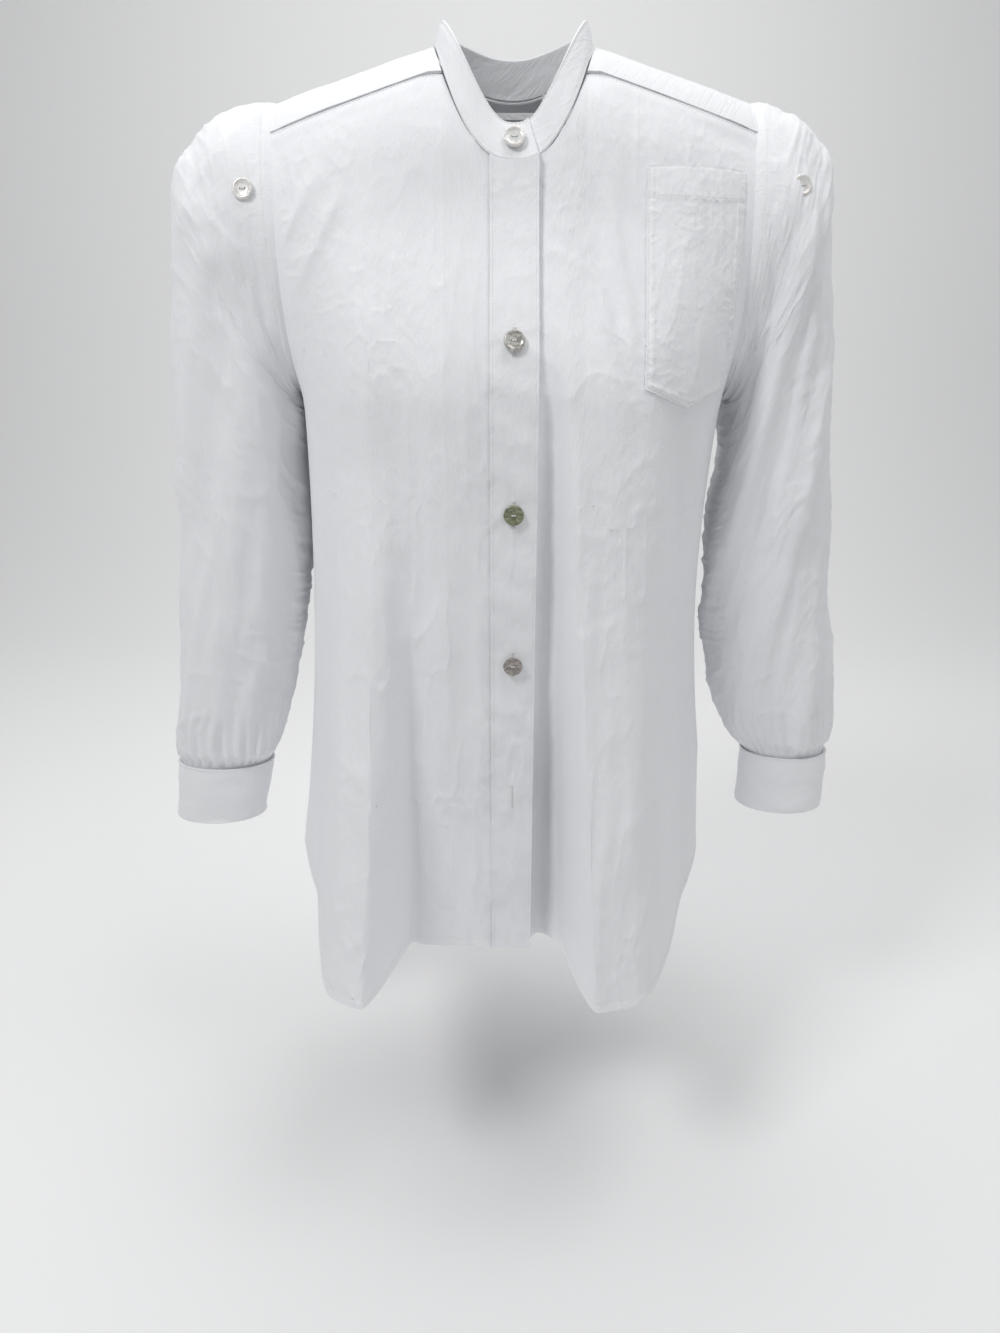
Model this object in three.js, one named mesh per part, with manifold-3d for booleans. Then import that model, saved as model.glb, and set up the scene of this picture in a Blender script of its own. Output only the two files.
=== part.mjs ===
// A long-sleeved, button-front cotton gown as it hangs from its shoulders.
// Millimetres, +Z up. The front faces -Y, so the wearer's right side is -X.
// The origin is the middle of the neck at the height of its highest point, where a hanger holds it.
import * as THREE from "three";
import Module from "manifold-3d";
import { mergeVertices } from "three/addons/utils/BufferGeometryUtils.js";

const wasm = await Module();
wasm.setup();

// ---- Driving sizes ----
const CLOTH = 0.8; // one layer of cloth
const INTERLINING = 0.6; // stiffening layer inside band, cuffs and placket
const GAP = 0.35; // clearance between layers that touch
const SEAM_GAP = 0.8; // clearance between panels that meet at a seam

const NECK_HALF = 62; // half of the neck opening's width
const NECK_FRONT_DROP = 92;
const NECK_BACK_DROP = 18;
const NECK_ROUNDNESS = 2.5; // 2 gives a parabola; more gives a flatter front neckline
const SHOULDER_HALF = 184; // from the middle to the armhole seam
const SHOULDER_DROP = 35;
const ARMHOLE_HEIGHT = 220;
const ARMHOLE_FRONT = 68; // how far the armhole reaches forward
const ARMHOLE_BACK = 62;
const CHEST_FRONT_TOP = 84; // depth of the front at the neck
const CHEST_FRONT = 134; // depth of the front below the bust
const CHEST_BACK_TOP = 96;
const CHEST_BACK = 114;
const FRONT_HEM_Z = -747;
const BACK_HEM_Z = -780;
const SIDE_SEAM_END_Z = -697;
const YOKE_FRONT_DROP = 30; // front yoke seam below the shoulder line
const YOKE_BACK_Z = -95;

const PLACKET_WIDTH = 36;
const BAND_HEIGHT = 28;
const CUFF_HEIGHT = 62;
const CUFF_OVERLAP = 24;

const BUTTON_DIAMETER = 15.8;
const BUTTON_THICKNESS = 2.6;
const BUTTON_STANDOFF = 1.6; // from the cloth to the back of a button
const SLOT_WIDTH = 3.4;
const FIRST_BUTTON_Z = -215;
const BUTTON_PITCH = 123;
const FASTENED_BUTTONS = 3;

const POCKET_WIDTH = 76;
const POCKET_INNER_X = 97;
const POCKET_TOP_Z = -94;
const POCKET_HEIGHT = 153;
const POCKET_POINT = 15;
const POCKET_BULGE = 12;
const POCKET_GAP = 1.1; // between the pocket and the front it is sewn to

const TAB_LENGTH = 72;
const TAB_WIDTH = 20;
const TAB_CLEARANCE = 9; // from the sleeve's front, which slopes in towards the shoulder

// ---- Values worked out from them ----
const ARMPIT_Z = -SHOULDER_DROP - ARMHOLE_HEIGHT;
const ARMHOLE_RADIUS = ARMHOLE_HEIGHT / 2;
const LAP = PLACKET_WIDTH / 2;
const PLACKET_STACK = CLOTH + INTERLINING + 2 * GAP; // from the placket's face to the panel's face
const BAND_STACK = 2 * CLOTH + INTERLINING + 2 * GAP;
const LAP_GAP = 0.6; // between the two laps of a closed band, cuff or front
const UNDER_LAP = PLACKET_STACK + CLOTH + LAP_GAP; // down to the button band's face
const SLOT_LENGTH = BUTTON_DIAMETER + 3;
const FREE_BUTTON_Z = FIRST_BUTTON_Z - FASTENED_BUTTONS * BUTTON_PITCH;

// The two halves of the body hang a little differently. "edges" are the four places, from the middle out,
// where the big fold under the bust starts to rise, is full, starts to fall and ends.
const RIGHT = {
  name: "right",
  sign: -1,
  flare: 48,
  waist: 0,
  fold: { top: -300, depth: 90, power: 1.15, topEdges: [78, 108, 128, 160], hemEdges: [96, 138, 156, 194] },
  sleeve: { reach: 86, cuffTop: [243, 342], cuffBottom: [258, 351], seamZ: -606, power: 2.6 },
  tab: { s: 0.06, angle: 68 },
};
const LEFT = {
  name: "left",
  sign: 1,
  flare: 22,
  waist: 9,
  fold: { top: -180, depth: 84, power: 1, topEdges: [24, 42, 70, 120], hemEdges: [46, 76, 96, 176] },
  sleeve: { reach: 72, cuffTop: [236, 324], cuffBottom: [238, 326], seamZ: -594, power: 5 },
  tab: { s: 0.12, angle: 62 },
};

const { clamp, lerp, degToRad } = THREE.MathUtils;
const vec = (x, y, z) => new THREE.Vector3(x, y, z);
const ease = (x) => THREE.MathUtils.smoothstep(x, 0, 1);

// ---- The body's surface ----

// Height of the shoulder line above a place across the body.
function shoulderZ(x) {
  const share = clamp((Math.abs(x) - NECK_HALF) / (SHOULDER_HALF - NECK_HALF), 0, 1);
  return -SHOULDER_DROP * share;
}

// Half of the body's width at a height: level to the armpit, then flared.
function halfWidth(side, z) {
  const below = Math.max(0, (ARMPIT_Z - z) / (ARMPIT_Z - FRONT_HEM_Z));
  const waist = side.waist * Math.sin(Math.PI * Math.min(1, 1.5 * below));
  return SHOULDER_HALF + side.flare * below ** 2.06 - waist;
}

// The rounding over the shoulder: 0 at the shoulder line and 1 an armhole radius below it.
function shoulderRound(x, z) {
  const share = clamp((shoulderZ(x) - z) / ARMHOLE_RADIUS, 0, 1);
  return Math.sqrt(1 - (1 - share) ** 2);
}

// How far the armhole's edge stands from the middle plane at a height.
function armholeEdge(depth, z) {
  const low = (ARMPIT_Z + ARMHOLE_RADIUS - z) / ARMHOLE_RADIUS;
  return depth * Math.sqrt(Math.max(0, 1 - Math.max(0, low) ** 2));
}

// Depth of a body section: a superellipse from the middle's depth to the edge's depth.
function sectionDepth(middle, edge, share) {
  const s = Math.min(1, share) ** 2.8;
  return Math.sqrt(middle ** 2 * (1 - s) + edge ** 2 * s);
}

// The big fold that falls from the bust on each side of the front.
function foldDepth({ fold }, x, z) {
  const down = Math.max(0, (fold.top - z) / (fold.top - FRONT_HEM_Z));
  const edges = fold.topEdges.map((edge, i) => lerp(edge, fold.hemEdges[i], Math.min(1, down)));
  const rise = ease((x - edges[0]) / (edges[1] - edges[0]));
  const fall = ease((edges[3] - x) / (edges[3] - edges[2]));
  return fold.depth * down ** fold.power * rise * fall;
}

// Depth of the front at the placket's outer face. x is counted from the middle to the side's own side.
function frontDepth(side, x, z) {
  const middle = lerp(CHEST_FRONT_TOP, CHEST_FRONT, ease((-90 - z) / 170));
  const share = Math.abs(x) / halfWidth(side, z);
  const section = sectionDepth(middle, armholeEdge(ARMHOLE_FRONT, z), share);
  return shoulderRound(x, z) * section + foldDepth(side, x, z);
}

function backDepth(side, x, z) {
  const middle = lerp(CHEST_BACK_TOP, CHEST_BACK, ease((-60 - z) / 200));
  const share = Math.min(1, Math.abs(x) / halfWidth(side, z));
  const section = sectionDepth(middle, armholeEdge(ARMHOLE_BACK, z), share);
  const down = Math.max(0, (YOKE_BACK_Z - z) / (YOKE_BACK_Z - BACK_HEM_Z));
  const ripple = 11 * down * Math.cos((2 * Math.PI * x) / 88) * (1 - share ** 4);
  return shoulderRound(x, z) * section + ripple;
}

// How far the left front lies behind the placket's face: under the lap, then in the groove beside it.
function leftInset(x, z) {
  const start = lerp(LEFT.fold.topEdges[0], LEFT.fold.hemEdges[0], clamp((-180 - z) / 567, 0, 1));
  const groove = 9 * ease((-200 - z) / 160) * ease((x - LAP) / 8);
  const under = UNDER_LAP + CLOTH + GAP - PLACKET_STACK + looseness(z) + groove;
  return under * (1 - ease((x - LAP - 2) / (start + 12 - LAP)));
}

// Below the last fastened button the two fronts hang apart.
function looseness(z) {
  const last = FIRST_BUTTON_Z - (FASTENED_BUTTONS - 1) * BUTTON_PITCH;
  return 10 * ease((last - 10 - z) / (BUTTON_PITCH + 10));
}

// ---- Cloth solids ----

function normalOf(at, u, v) {
  const step = 1e-3;
  const across = at(u + step, v).sub(at(u - step, v));
  const down = at(u, v + step).sub(at(u, v - step));
  return across.cross(down).normalize();
}

// A closed sheet between two offsets of the surface at(u, v), counted along the normal that points away
// from "inside". A loop closes on itself in u.
function sheet(at, us, vs, outer, inner, inside, loop = false) {
  const midU = us[Math.floor(us.length / 2)];
  const midV = (vs[0] + vs[vs.length - 1]) / 2;
  const sign = normalOf(at, midU, midV).dot(at(midU, midV).sub(inside)) < 0 ? -1 : 1;
  const positions = [];
  for (const offset of [outer, inner]) {
    for (const v of vs) {
      for (const u of us) {
        const point = at(u, v).addScaledVector(normalOf(at, u, v), sign * offset);
        positions.push(point.x, point.y, point.z);
      }
    }
  }
  const wide = us.length;
  const skin = wide * vs.length;
  const faces = [];
  const addQuad = (a, b, c, d) => {
    faces.push(...(sign > 0 ? [a, b, c, a, c, d] : [a, c, b, a, d, c]));
  };
  const columns = loop ? wide : wide - 1;
  for (let j = 0; j < vs.length - 1; j += 1) {
    for (let i = 0; i < columns; i += 1) {
      const a = j * wide + i;
      const b = j * wide + ((i + 1) % wide);
      addQuad(a, b, b + wide, a + wide);
      addQuad(skin + a, skin + a + wide, skin + b + wide, skin + b);
    }
  }
  const bottom = (vs.length - 1) * wide;
  for (let i = 0; i < columns; i += 1) {
    const next = (i + 1) % wide;
    addQuad(next, i, skin + i, skin + next);
    addQuad(bottom + i, bottom + next, skin + bottom + next, skin + bottom + i);
  }
  if (!loop) {
    for (let j = 0; j < vs.length - 1; j += 1) {
      const left = j * wide;
      const right = left + wide - 1;
      addQuad(left, left + wide, skin + left + wide, skin + left);
      addQuad(right + wide, right, skin + right, skin + right + wide);
    }
  }
  const geometry = new THREE.BufferGeometry();
  geometry.setAttribute("position", new THREE.Float32BufferAttribute(positions, 3));
  geometry.setIndex(faces);
  return geometry;
}

function steps(from, to, count) {
  return Array.from({ length: count + 1 }, (_, i) => lerp(from, to, i / count));
}

function solidOf(geometry) {
  const bare = new THREE.BufferGeometry();
  bare.setAttribute("position", geometry.getAttribute("position"));
  bare.setIndex(geometry.index);
  const merged = mergeVertices(bare, 1e-3);
  const vertProperties = merged.attributes.position.array;
  const triVerts = new Uint32Array(merged.index.array);
  return new wasm.Manifold(new wasm.Mesh({ numProp: 3, vertProperties, triVerts }));
}

function geometryOf(solid) {
  const made = solid.getMesh();
  const geometry = new THREE.BufferGeometry();
  geometry.setAttribute("position", new THREE.BufferAttribute(new Float32Array(made.vertProperties), 3));
  geometry.setIndex(new THREE.BufferAttribute(new Uint32Array(made.triVerts), 1));
  return geometry;
}

function cut(geometry, tools) {
  return geometryOf(tools.reduce((solid, tool) => solid.subtract(solidOf(tool)), solidOf(geometry)));
}

function join(geometries) {
  const [first, ...rest] = geometries.map(solidOf);
  return geometryOf(rest.reduce((solid, other) => solid.add(other), first));
}

// ---- The assembly ----
const gown = new THREE.Group();

const FINISHES = {
  cloth: { color: 0xe9ecf2, roughness: 0.9, metalness: 0 },
  interlining: { color: 0xdedfe0, roughness: 0.95, metalness: 0 },
  grey_shell: { color: 0xa6a39b, roughness: 0.25, metalness: 0 },
  green_shell: { color: 0x96a27c, roughness: 0.25, metalness: 0 },
  pink_shell: { color: 0xa39a94, roughness: 0.25, metalness: 0 },
  thread: { color: 0xf2f2f0, roughness: 0.8, metalness: 0 },
  tape: { color: 0xe4e5e6, roughness: 0.85, metalness: 0 },
};

function addPiece(name, finish, geometry) {
  geometry.computeVertexNormals();
  const mesh = new THREE.Mesh(geometry, new THREE.MeshStandardMaterial(FINISHES[finish]));
  mesh.name = name;
  gown.add(mesh);
  return mesh;
}

// ---- Fronts, plackets and pocket ----
const BODY_MIDDLE = vec(0, 0, -300);
const LAP_SHARE = 0.2; // share of a front's u range that lies in the placket
const UPPER_SHARE = 0.4; // share of a panel's v range that lies above the armpit
// Columns under the neckline keep their place beside the neck whatever the shoulder's width.
const NECK_COLUMNS = [0.558, 0.8205, 1.254].map((share) => (share * NECK_HALF - LAP) / (SHOULDER_HALF - LAP));
const FRONT_COLUMNS = [0, ...NECK_COLUMNS, 0.5, 0.62, 0.73, 0.83, 0.91, 0.965, 1];
const FRONT_US = [0, LAP_SHARE / 2, ...FRONT_COLUMNS.map((w) => LAP_SHARE + (1 - LAP_SHARE) * w)];
const UPPER_VS = steps(0, 1, 6).map((row) => UPPER_SHARE * Math.sin((row * Math.PI) / 2));
// One row runs through the free button's seat, so that the button sits on the cloth's own facets.
const PANEL_VS = withRowAt(placketV(FREE_BUTTON_Z), [...UPPER_VS, ...steps(UPPER_SHARE, 1, 9).slice(1)]);

function withRowAt(place, rows) {
  const nearest = rows.reduce((best, v) => (Math.abs(v - place) < Math.abs(best - place) ? v : best));
  return rows.map((v) => (v === nearest ? place : v));
}

function neckFrontZ(x) {
  return -NECK_FRONT_DROP * (1 - Math.min(1, Math.abs(x) / NECK_HALF) ** NECK_ROUNDNESS);
}

// A front's height at (x, v): from the neckline or the yoke seam to the armpit's level, then to the hem.
function panelZ(top, hem, v) {
  if (v <= UPPER_SHARE) return lerp(top, ARMPIT_Z, v / UPPER_SHARE);
  return lerp(ARMPIT_Z, hem, (v - UPPER_SHARE) / (1 - UPPER_SHARE));
}

function frontSurface(side, inset = () => 0) {
  return (u, v) => {
    const w = (u - LAP_SHARE) / (1 - LAP_SHARE);
    const acrossTop = w < 0 ? lerp(-LAP, LAP, u / LAP_SHARE) : lerp(LAP, SHOULDER_HALF, Math.min(1, w));
    const top = Math.min(neckFrontZ(acrossTop), shoulderZ(acrossTop) - YOKE_FRONT_DROP) - GAP;
    const rise = (SIDE_SEAM_END_Z - FRONT_HEM_Z) * ease((w - 0.7) / 0.3);
    const z = panelZ(top, FRONT_HEM_Z + rise, v);
    const x = w < 0 ? acrossTop : lerp(LAP, halfWidth(side, z), Math.min(1, w));
    const depth = frontDepth(side, x, z) - inset(x, z);
    return vec(side.sign * x, -Math.max(depth, GAP / 2), z);
  };
}

const rightSurface = frontSurface(RIGHT);
const leftSurface = frontSurface(LEFT, leftInset);
const PLACKET_US = [0, LAP_SHARE / 2, LAP_SHARE];

// A button's seat: a place on the cloth with the normal that points away from it.
function seatOn(at, u, v, inside, offset = 0) {
  const normal = normalOf(at, u, v);
  const point = at(u, v);
  if (normal.dot(point.clone().sub(inside)) < 0) normal.negate();
  return { point: point.addScaledVector(normal, offset), normal };
}

function placketV(z) {
  const top = neckFrontZ(0) - GAP;
  if (z > ARMPIT_Z) return (UPPER_SHARE * (z - top)) / (ARMPIT_Z - top);
  return UPPER_SHARE + ((1 - UPPER_SHARE) * (z - ARMPIT_Z)) / (FRONT_HEM_Z - ARMPIT_Z);
}

// A box that stands along a seat's normal, long across or long upright.
function slotTool(seat, upright) {
  const size = upright ? [SLOT_WIDTH, SLOT_LENGTH] : [SLOT_LENGTH, SLOT_WIDTH];
  const reach = upright ? 2 * UNDER_LAP : BAND_STACK + LAP_GAP / 2;
  const tool = new THREE.BoxGeometry(size[0], size[1], reach + 2).translate(0, 0, (2 - reach) / 2);
  return tool.applyMatrix4(seatMatrix(seat));
}

function seatMatrix({ point, normal }) {
  const side = vec(0, 0, 1).cross(normal).normalize();
  const up = normal.clone().cross(side);
  return new THREE.Matrix4().makeBasis(side, up, normal).setPosition(point);
}

const holeSeats = steps(0, FASTENED_BUTTONS, FASTENED_BUTTONS).map((index) =>
  seatOn(rightSurface, LAP_SHARE / 2, placketV(FIRST_BUTTON_Z - index * BUTTON_PITCH), BODY_MIDDLE),
);
const placketSlots = () => holeSeats.map((seat) => slotTool(seat, true));

const rightFront = sheet(
  rightSurface, FRONT_US, PANEL_VS, -PLACKET_STACK, -PLACKET_STACK - CLOTH, BODY_MIDDLE,
);
addPiece("right_front", "cloth", cut(rightFront, placketSlots()));
const rightPlacket = sheet(rightSurface, PLACKET_US, PANEL_VS, 0, -CLOTH, BODY_MIDDLE);
addPiece("right_placket", "cloth", cut(rightPlacket, placketSlots()));
const EDGE_SHARE = 0.012;
const stiffening = sheet(
  rightSurface,
  [EDGE_SHARE, LAP_SHARE / 2, LAP_SHARE - EDGE_SHARE],
  [PANEL_VS[0] + EDGE_SHARE / 2, ...PANEL_VS.slice(1, -1), PANEL_VS.at(-1) - EDGE_SHARE / 2],
  -CLOTH - GAP,
  -CLOTH - GAP - INTERLINING,
  BODY_MIDDLE,
);
addPiece("right_placket_interlining", "interlining", cut(stiffening, placketSlots()));

addPiece(
  "left_front",
  "cloth",
  sheet(leftSurface, FRONT_US, PANEL_VS, -PLACKET_STACK, -PLACKET_STACK - CLOTH, BODY_MIDDLE),
);
const STRIP_OUT = -PLACKET_STACK + GAP + CLOTH;
addPiece(
  "left_placket",
  "cloth",
  sheet(leftSurface, PLACKET_US, PANEL_VS, STRIP_OUT, STRIP_OUT - CLOTH, BODY_MIDDLE),
);

// The pocket lies on the left front, and stands off it between its sewn edges so that a hand can enter.
function pocketSurface(u, v) {
  const x = POCKET_INNER_X + POCKET_WIDTH * u;
  const point = POCKET_POINT * (1 - Math.abs(2 * u - 1));
  const z = POCKET_TOP_Z - (POCKET_HEIGHT + point) * v;
  const depth = frontDepth(LEFT, x, z) - leftInset(x, z);
  const turn = degToRad(lerp(6, 50, u));
  const bulge = POCKET_BULGE * Math.sin(Math.PI * clamp(u, 0, 1)) ** 0.7 * (1 - clamp(v, 0, 1) ** 3);
  return vec(x + bulge * Math.sin(turn), -depth - bulge * Math.cos(turn), z);
}
addPiece(
  "breast_pocket",
  "cloth",
  sheet(
    pocketSurface,
    steps(0, 1, 8),
    steps(0, 1, 7),
    -PLACKET_STACK + POCKET_GAP + CLOTH,
    -PLACKET_STACK + POCKET_GAP,
    BODY_MIDDLE,
  ),
);

// ---- Back and yoke ----
const HALF_BACK = [0.13, 0.26, 0.4, 0.54, 0.68, 0.8, 0.9, 0.965, 1];
const BACK_US = [...HALF_BACK.map((u) => -u).reverse(), 0, ...HALF_BACK];
const backSide = (x) => (x < 0 ? RIGHT : LEFT);

function backSurface(u, v) {
  const share = Math.min(1, Math.abs(u));
  const rise = (SIDE_SEAM_END_Z - BACK_HEM_Z) * ease((share - 0.6) / 0.4);
  const z = panelZ(YOKE_BACK_Z - GAP, BACK_HEM_Z + rise, v);
  const side = backSide(u);
  const x = share * halfWidth(side, z);
  return vec(side.sign * x, Math.max(backDepth(side, x, z), GAP / 2), z);
}
addPiece("back", "cloth", sheet(backSurface, BACK_US, PANEL_VS, 0, -CLOTH, BODY_MIDDLE));

// The yoke goes over the shoulders. "turn" is the angle over the shoulder line, from front to back.
function overShoulder(x, turn) {
  const z = shoulderZ(x) - ARMHOLE_RADIUS * (1 - Math.cos(turn));
  const depth = turn < 0 ? -frontDepth(RIGHT, Math.abs(x), z) : backDepth(RIGHT, Math.abs(x), z);
  return vec(x, depth, z);
}
const turnAt = (drop) => Math.acos(1 - drop / ARMHOLE_RADIUS);
const neckBackTurn = (x) => turnAt(NECK_BACK_DROP * (1 - (x / NECK_HALF) ** 2));
const neckFrontTurn = (x) => turnAt(-neckFrontZ(x));

// Around the yoke: the front seam of one side, the neck edge, and the front seam of the other.
// At each place the inner end lies on the neckline and the outer end on the armhole or the back seam.
function yokeEnds(u) {
  const mirror = u < 0 ? -1 : 1;
  const around = Math.min(1, Math.abs(u));
  const frontTurn = turnAt(YOKE_FRONT_DROP);
  const neckEnd = NECK_HALF * (1 - YOKE_FRONT_DROP / NECK_FRONT_DROP) ** (1 / NECK_ROUNDNESS);
  const cornerTurn = turnAt(-YOKE_BACK_Z - SHOULDER_DROP);
  const shares = [0, 0.55, 0.8, 1]; // middle of the back, armhole's back corner, shoulder tip, front seam
  if (around <= shares[1]) {
    const part = around / shares[1];
    const inX = NECK_HALF * 0.8 * part;
    const outX = SHOULDER_HALF * part;
    const outTurn = turnAt(shoulderZ(outX) - YOKE_BACK_Z);
    return [[mirror * inX, neckBackTurn(inX)], [mirror * outX, Math.max(outTurn, cornerTurn)]];
  }
  if (around <= shares[2]) {
    const part = (around - shares[1]) / (shares[2] - shares[1]);
    const inX = NECK_HALF * lerp(0.8, 1, Math.sin((part * Math.PI) / 2));
    return [[mirror * inX, neckBackTurn(inX)], [mirror * SHOULDER_HALF, lerp(cornerTurn, 0, part)]];
  }
  const part = (around - shares[2]) / (shares[3] - shares[2]);
  const inX = lerp(NECK_HALF, neckEnd, 1 - Math.cos((part * Math.PI) / 2));
  return [[mirror * inX, -neckFrontTurn(inX)], [mirror * SHOULDER_HALF, -lerp(0, frontTurn, part)]];
}

function yokeSurface(u, v) {
  const [near, far] = yokeEnds(u);
  return overShoulder(lerp(near[0], far[0], v), lerp(near[1], far[1], v));
}
const HALF_YOKE = [0.14, 0.28, 0.42, 0.549, 0.63, 0.72, 0.799, 0.87, 0.94, 0.999];
const YOKE_US = [...HALF_YOKE.map((u) => -u).reverse(), 0, ...HALF_YOKE];
const YOKE_VS = [0, 0.25, 0.5, 0.75, 1];
addPiece("yoke", "cloth", sheet(yokeSurface, YOKE_US, YOKE_VS, 0, -CLOTH, BODY_MIDDLE));
addPiece(
  "yoke_facing",
  "cloth",
  sheet(yokeSurface, YOKE_US, YOKE_VS, -CLOTH - GAP, -2 * CLOTH - GAP, BODY_MIDDLE),
);

// ---- Collar band, cuffs and the layers they share ----

// A band of outer cloth, interlining and inner cloth, with a slot through its upper lap.
function addBand(prefix, suffixes, at, us, height, inside, slotSeat) {
  const edge = 1.5;
  const vs = [0, height / 2, height];
  const innerUs = [us[0] + EDGE_SHARE, ...us.slice(1, -1), us.at(-1) - EDGE_SHARE];
  const layers = [
    [suffixes[0], "cloth", us, vs, 0, CLOTH],
    [suffixes[1], "interlining", innerUs, [edge, height / 2, height - edge], CLOTH + GAP, INTERLINING],
    [suffixes[2], "cloth", us, vs, BAND_STACK - CLOTH, CLOTH],
  ];
  for (const [suffix, finish, columns, rows, depth, thickness] of layers) {
    const layer = sheet(at, columns, rows, -depth, -depth - thickness, inside);
    addPiece(`${prefix}_${suffix}`, finish, cut(layer, [slotTool(slotSeat, false)]));
  }
}

// Drops the under lap of a band inwards, over a short stretch that ends where the upper lap begins.
const LAP_STEP = 0.05;
const underLap = (u, lapStart) => (BAND_STACK + LAP_GAP) * ease((u - lapStart) / LAP_STEP + 1.1);
const lapColumns = (count, lapStart) =>
  [...steps(0, 1, count), lapStart - LAP_STEP, lapStart - LAP_STEP / 2, lapStart]
    .sort((a, b) => a - b)
    .filter((u, index, all) => index === 0 || u - all[index - 1] > 4e-3);

// The neck seam, once round from the right front's edge to the left front's edge.
const NECK_LAP_TURN = Math.PI + Math.asin(LAP / NECK_HALF);
const NECK_LAP_START = Math.PI / NECK_LAP_TURN;

function neckSeam(u) {
  const turn = lerp(-NECK_LAP_TURN, NECK_LAP_TURN, u);
  const x = NECK_HALF * Math.sin(turn);
  if (Math.cos(turn) > 0) {
    const z = -NECK_BACK_DROP * Math.cos(turn) ** 2;
    return vec(x, backDepth(RIGHT, Math.abs(x), z), z);
  }
  const z = neckFrontZ(x);
  return vec(x, -frontDepth(RIGHT, Math.abs(x), z), z);
}

function bandSurface(u, h) {
  const seam = neckSeam(u);
  const along = neckSeam(u + 1e-3).sub(neckSeam(u - 1e-3)).normalize();
  const outward = vec(seam.x, seam.y + 12, 0).normalize();
  const lean = degToRad(18 + 6 * Math.cos(lerp(-NECK_LAP_TURN, NECK_LAP_TURN, u) - Math.PI));
  const up = vec(0, 0, Math.cos(lean)).addScaledVector(outward, -Math.sin(lean));
  up.addScaledVector(along, -0.45 * up.dot(along)).normalize();
  const face = along.clone().cross(up);
  if (face.dot(outward) < 0) face.negate();
  const inset = underLap(u, NECK_LAP_START);
  const lift = 2 * GAP + (BAND_STACK + inset) * Math.tan(lean);
  return seam.addScaledVector(up, lift + h).addScaledVector(face, -inset);
}
const NECK_MIDDLE = vec(0, -12, -30);
const BAND_US = lapColumns(32, NECK_LAP_START);
const bandSeat = seatOn(bandSurface, 0.5 - Math.PI / (2 * NECK_LAP_TURN), BAND_HEIGHT / 2, NECK_MIDDLE);
const BAND_LAYERS = ["outer", "interlining", "inner"];
addBand("collar_band", BAND_LAYERS, bandSurface, BAND_US, BAND_HEIGHT, NECK_MIDDLE, bandSeat);

// ---- Sleeves ----
const CAP_SHARE = 0.3; // share of a sleeve's length that bends over the shoulder
const CAP_HEIGHT = 70;
const SLEEVE_DROOP = 12; // how far the arm hangs forward of the shoulder at the cuff
const CUFF_DEPTH = 30; // half of a cuff, front to back
const CUFF_SWING_ROOM = 7; // room between sleeve and cuff, in front and behind, for the cuff's swing

function sleeveEdges(side, s) {
  const { reach, cuffTop, seamZ, power } = side.sleeve;
  const capOut = [SHOULDER_HALF + reach, -SHOULDER_DROP - CAP_HEIGHT];
  const capIn = [SHOULDER_HALF + 3, ARMPIT_Z - 7];
  if (s <= CAP_SHARE) {
    const turn = ((s / CAP_SHARE) * Math.PI) / 2;
    const out = [SHOULDER_HALF + reach * Math.sin(turn), -SHOULDER_DROP - CAP_HEIGHT * (1 - Math.cos(turn))];
    const inn = [lerp(SHOULDER_HALF, capIn[0], s / CAP_SHARE), lerp(ARMPIT_Z, capIn[1], s / CAP_SHARE)];
    return [inn, out];
  }
  const down = (s - CAP_SHARE) / (1 - CAP_SHARE);
  const out = [lerp(capOut[0], cuffTop[1], down), lerp(capOut[1], seamZ, down)];
  const inn = [lerp(capIn[0], cuffTop[0], down ** power), lerp(capIn[1], seamZ, down)];
  return [inn, out];
}

// A sleeve's surface: s runs from the armhole to the cuff, and the angle from the outer edge to the front.
function sleeveSurface(side) {
  return (angle, s) => {
    const [inn, out] = sleeveEdges(side, s);
    const down = clamp((s - CAP_SHARE) / (1 - CAP_SHARE), 0, 1);
    const front = Math.sin(angle) > 0;
    const start = front ? ARMHOLE_FRONT : ARMHOLE_BACK;
    const depth = lerp(start, CUFF_DEPTH + 12, down) - 10 * down ** 8;
    const x = lerp(inn[0], out[0], (1 + Math.cos(angle)) / 2) + SEAM_GAP;
    const room = (1 + CUFF_SWING_ROOM * Math.abs(Math.sin(angle))) * clamp(s, 0, 1) ** 12;
    const z = lerp(inn[1], out[1], (1 + Math.cos(angle)) / 2) + room;
    return vec(side.sign * x, -depth * Math.sin(angle) - SLEEVE_DROOP * down, z);
  };
}

const SLEEVE_ANGLES = steps(0, 2 * Math.PI, 18).slice(0, -1);
const SLEEVE_ROWS = [0, 0.05, 0.1, 0.16, 0.22, 0.3, 0.4, 0.5, 0.6, 0.7, 0.8, 0.88, 0.94, 1];

function sleeveMiddle(side) {
  return vec(side.sign * (SHOULDER_HALF + 50), 0, (ARMPIT_Z + side.sleeve.seamZ) / 2);
}

// A cuff's surface, once round. The laps meet at the back; h runs down from the seam.
function cuffSurface(side) {
  const { cuffTop, cuffBottom, seamZ } = side.sleeve;
  const lapTurn = Math.PI + CUFF_OVERLAP / (cuffTop[1] - cuffTop[0]);
  const lapStart = Math.PI / lapTurn;
  return (u, h) => {
    const turn = lerp(-lapTurn, lapTurn, u) - Math.PI / 2;
    const down = h / CUFF_HEIGHT;
    const inner = lerp(cuffTop[0], cuffBottom[0], down);
    const outer = lerp(cuffTop[1], cuffBottom[1], down);
    const shrink = underLap(u, lapStart);
    const x = (inner + outer) / 2 + ((outer - inner) / 2 - shrink) * Math.cos(turn) + SEAM_GAP;
    return vec(side.sign * x, (CUFF_DEPTH - shrink) * Math.sin(turn) - SLEEVE_DROOP, seamZ - h);
  };
}
// ---- Buttons ----
const HOLE_SPACING = 3.2;
const HOLE_RADIUS = 0.85;
const DISH_DEPTH = 0.7;

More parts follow.
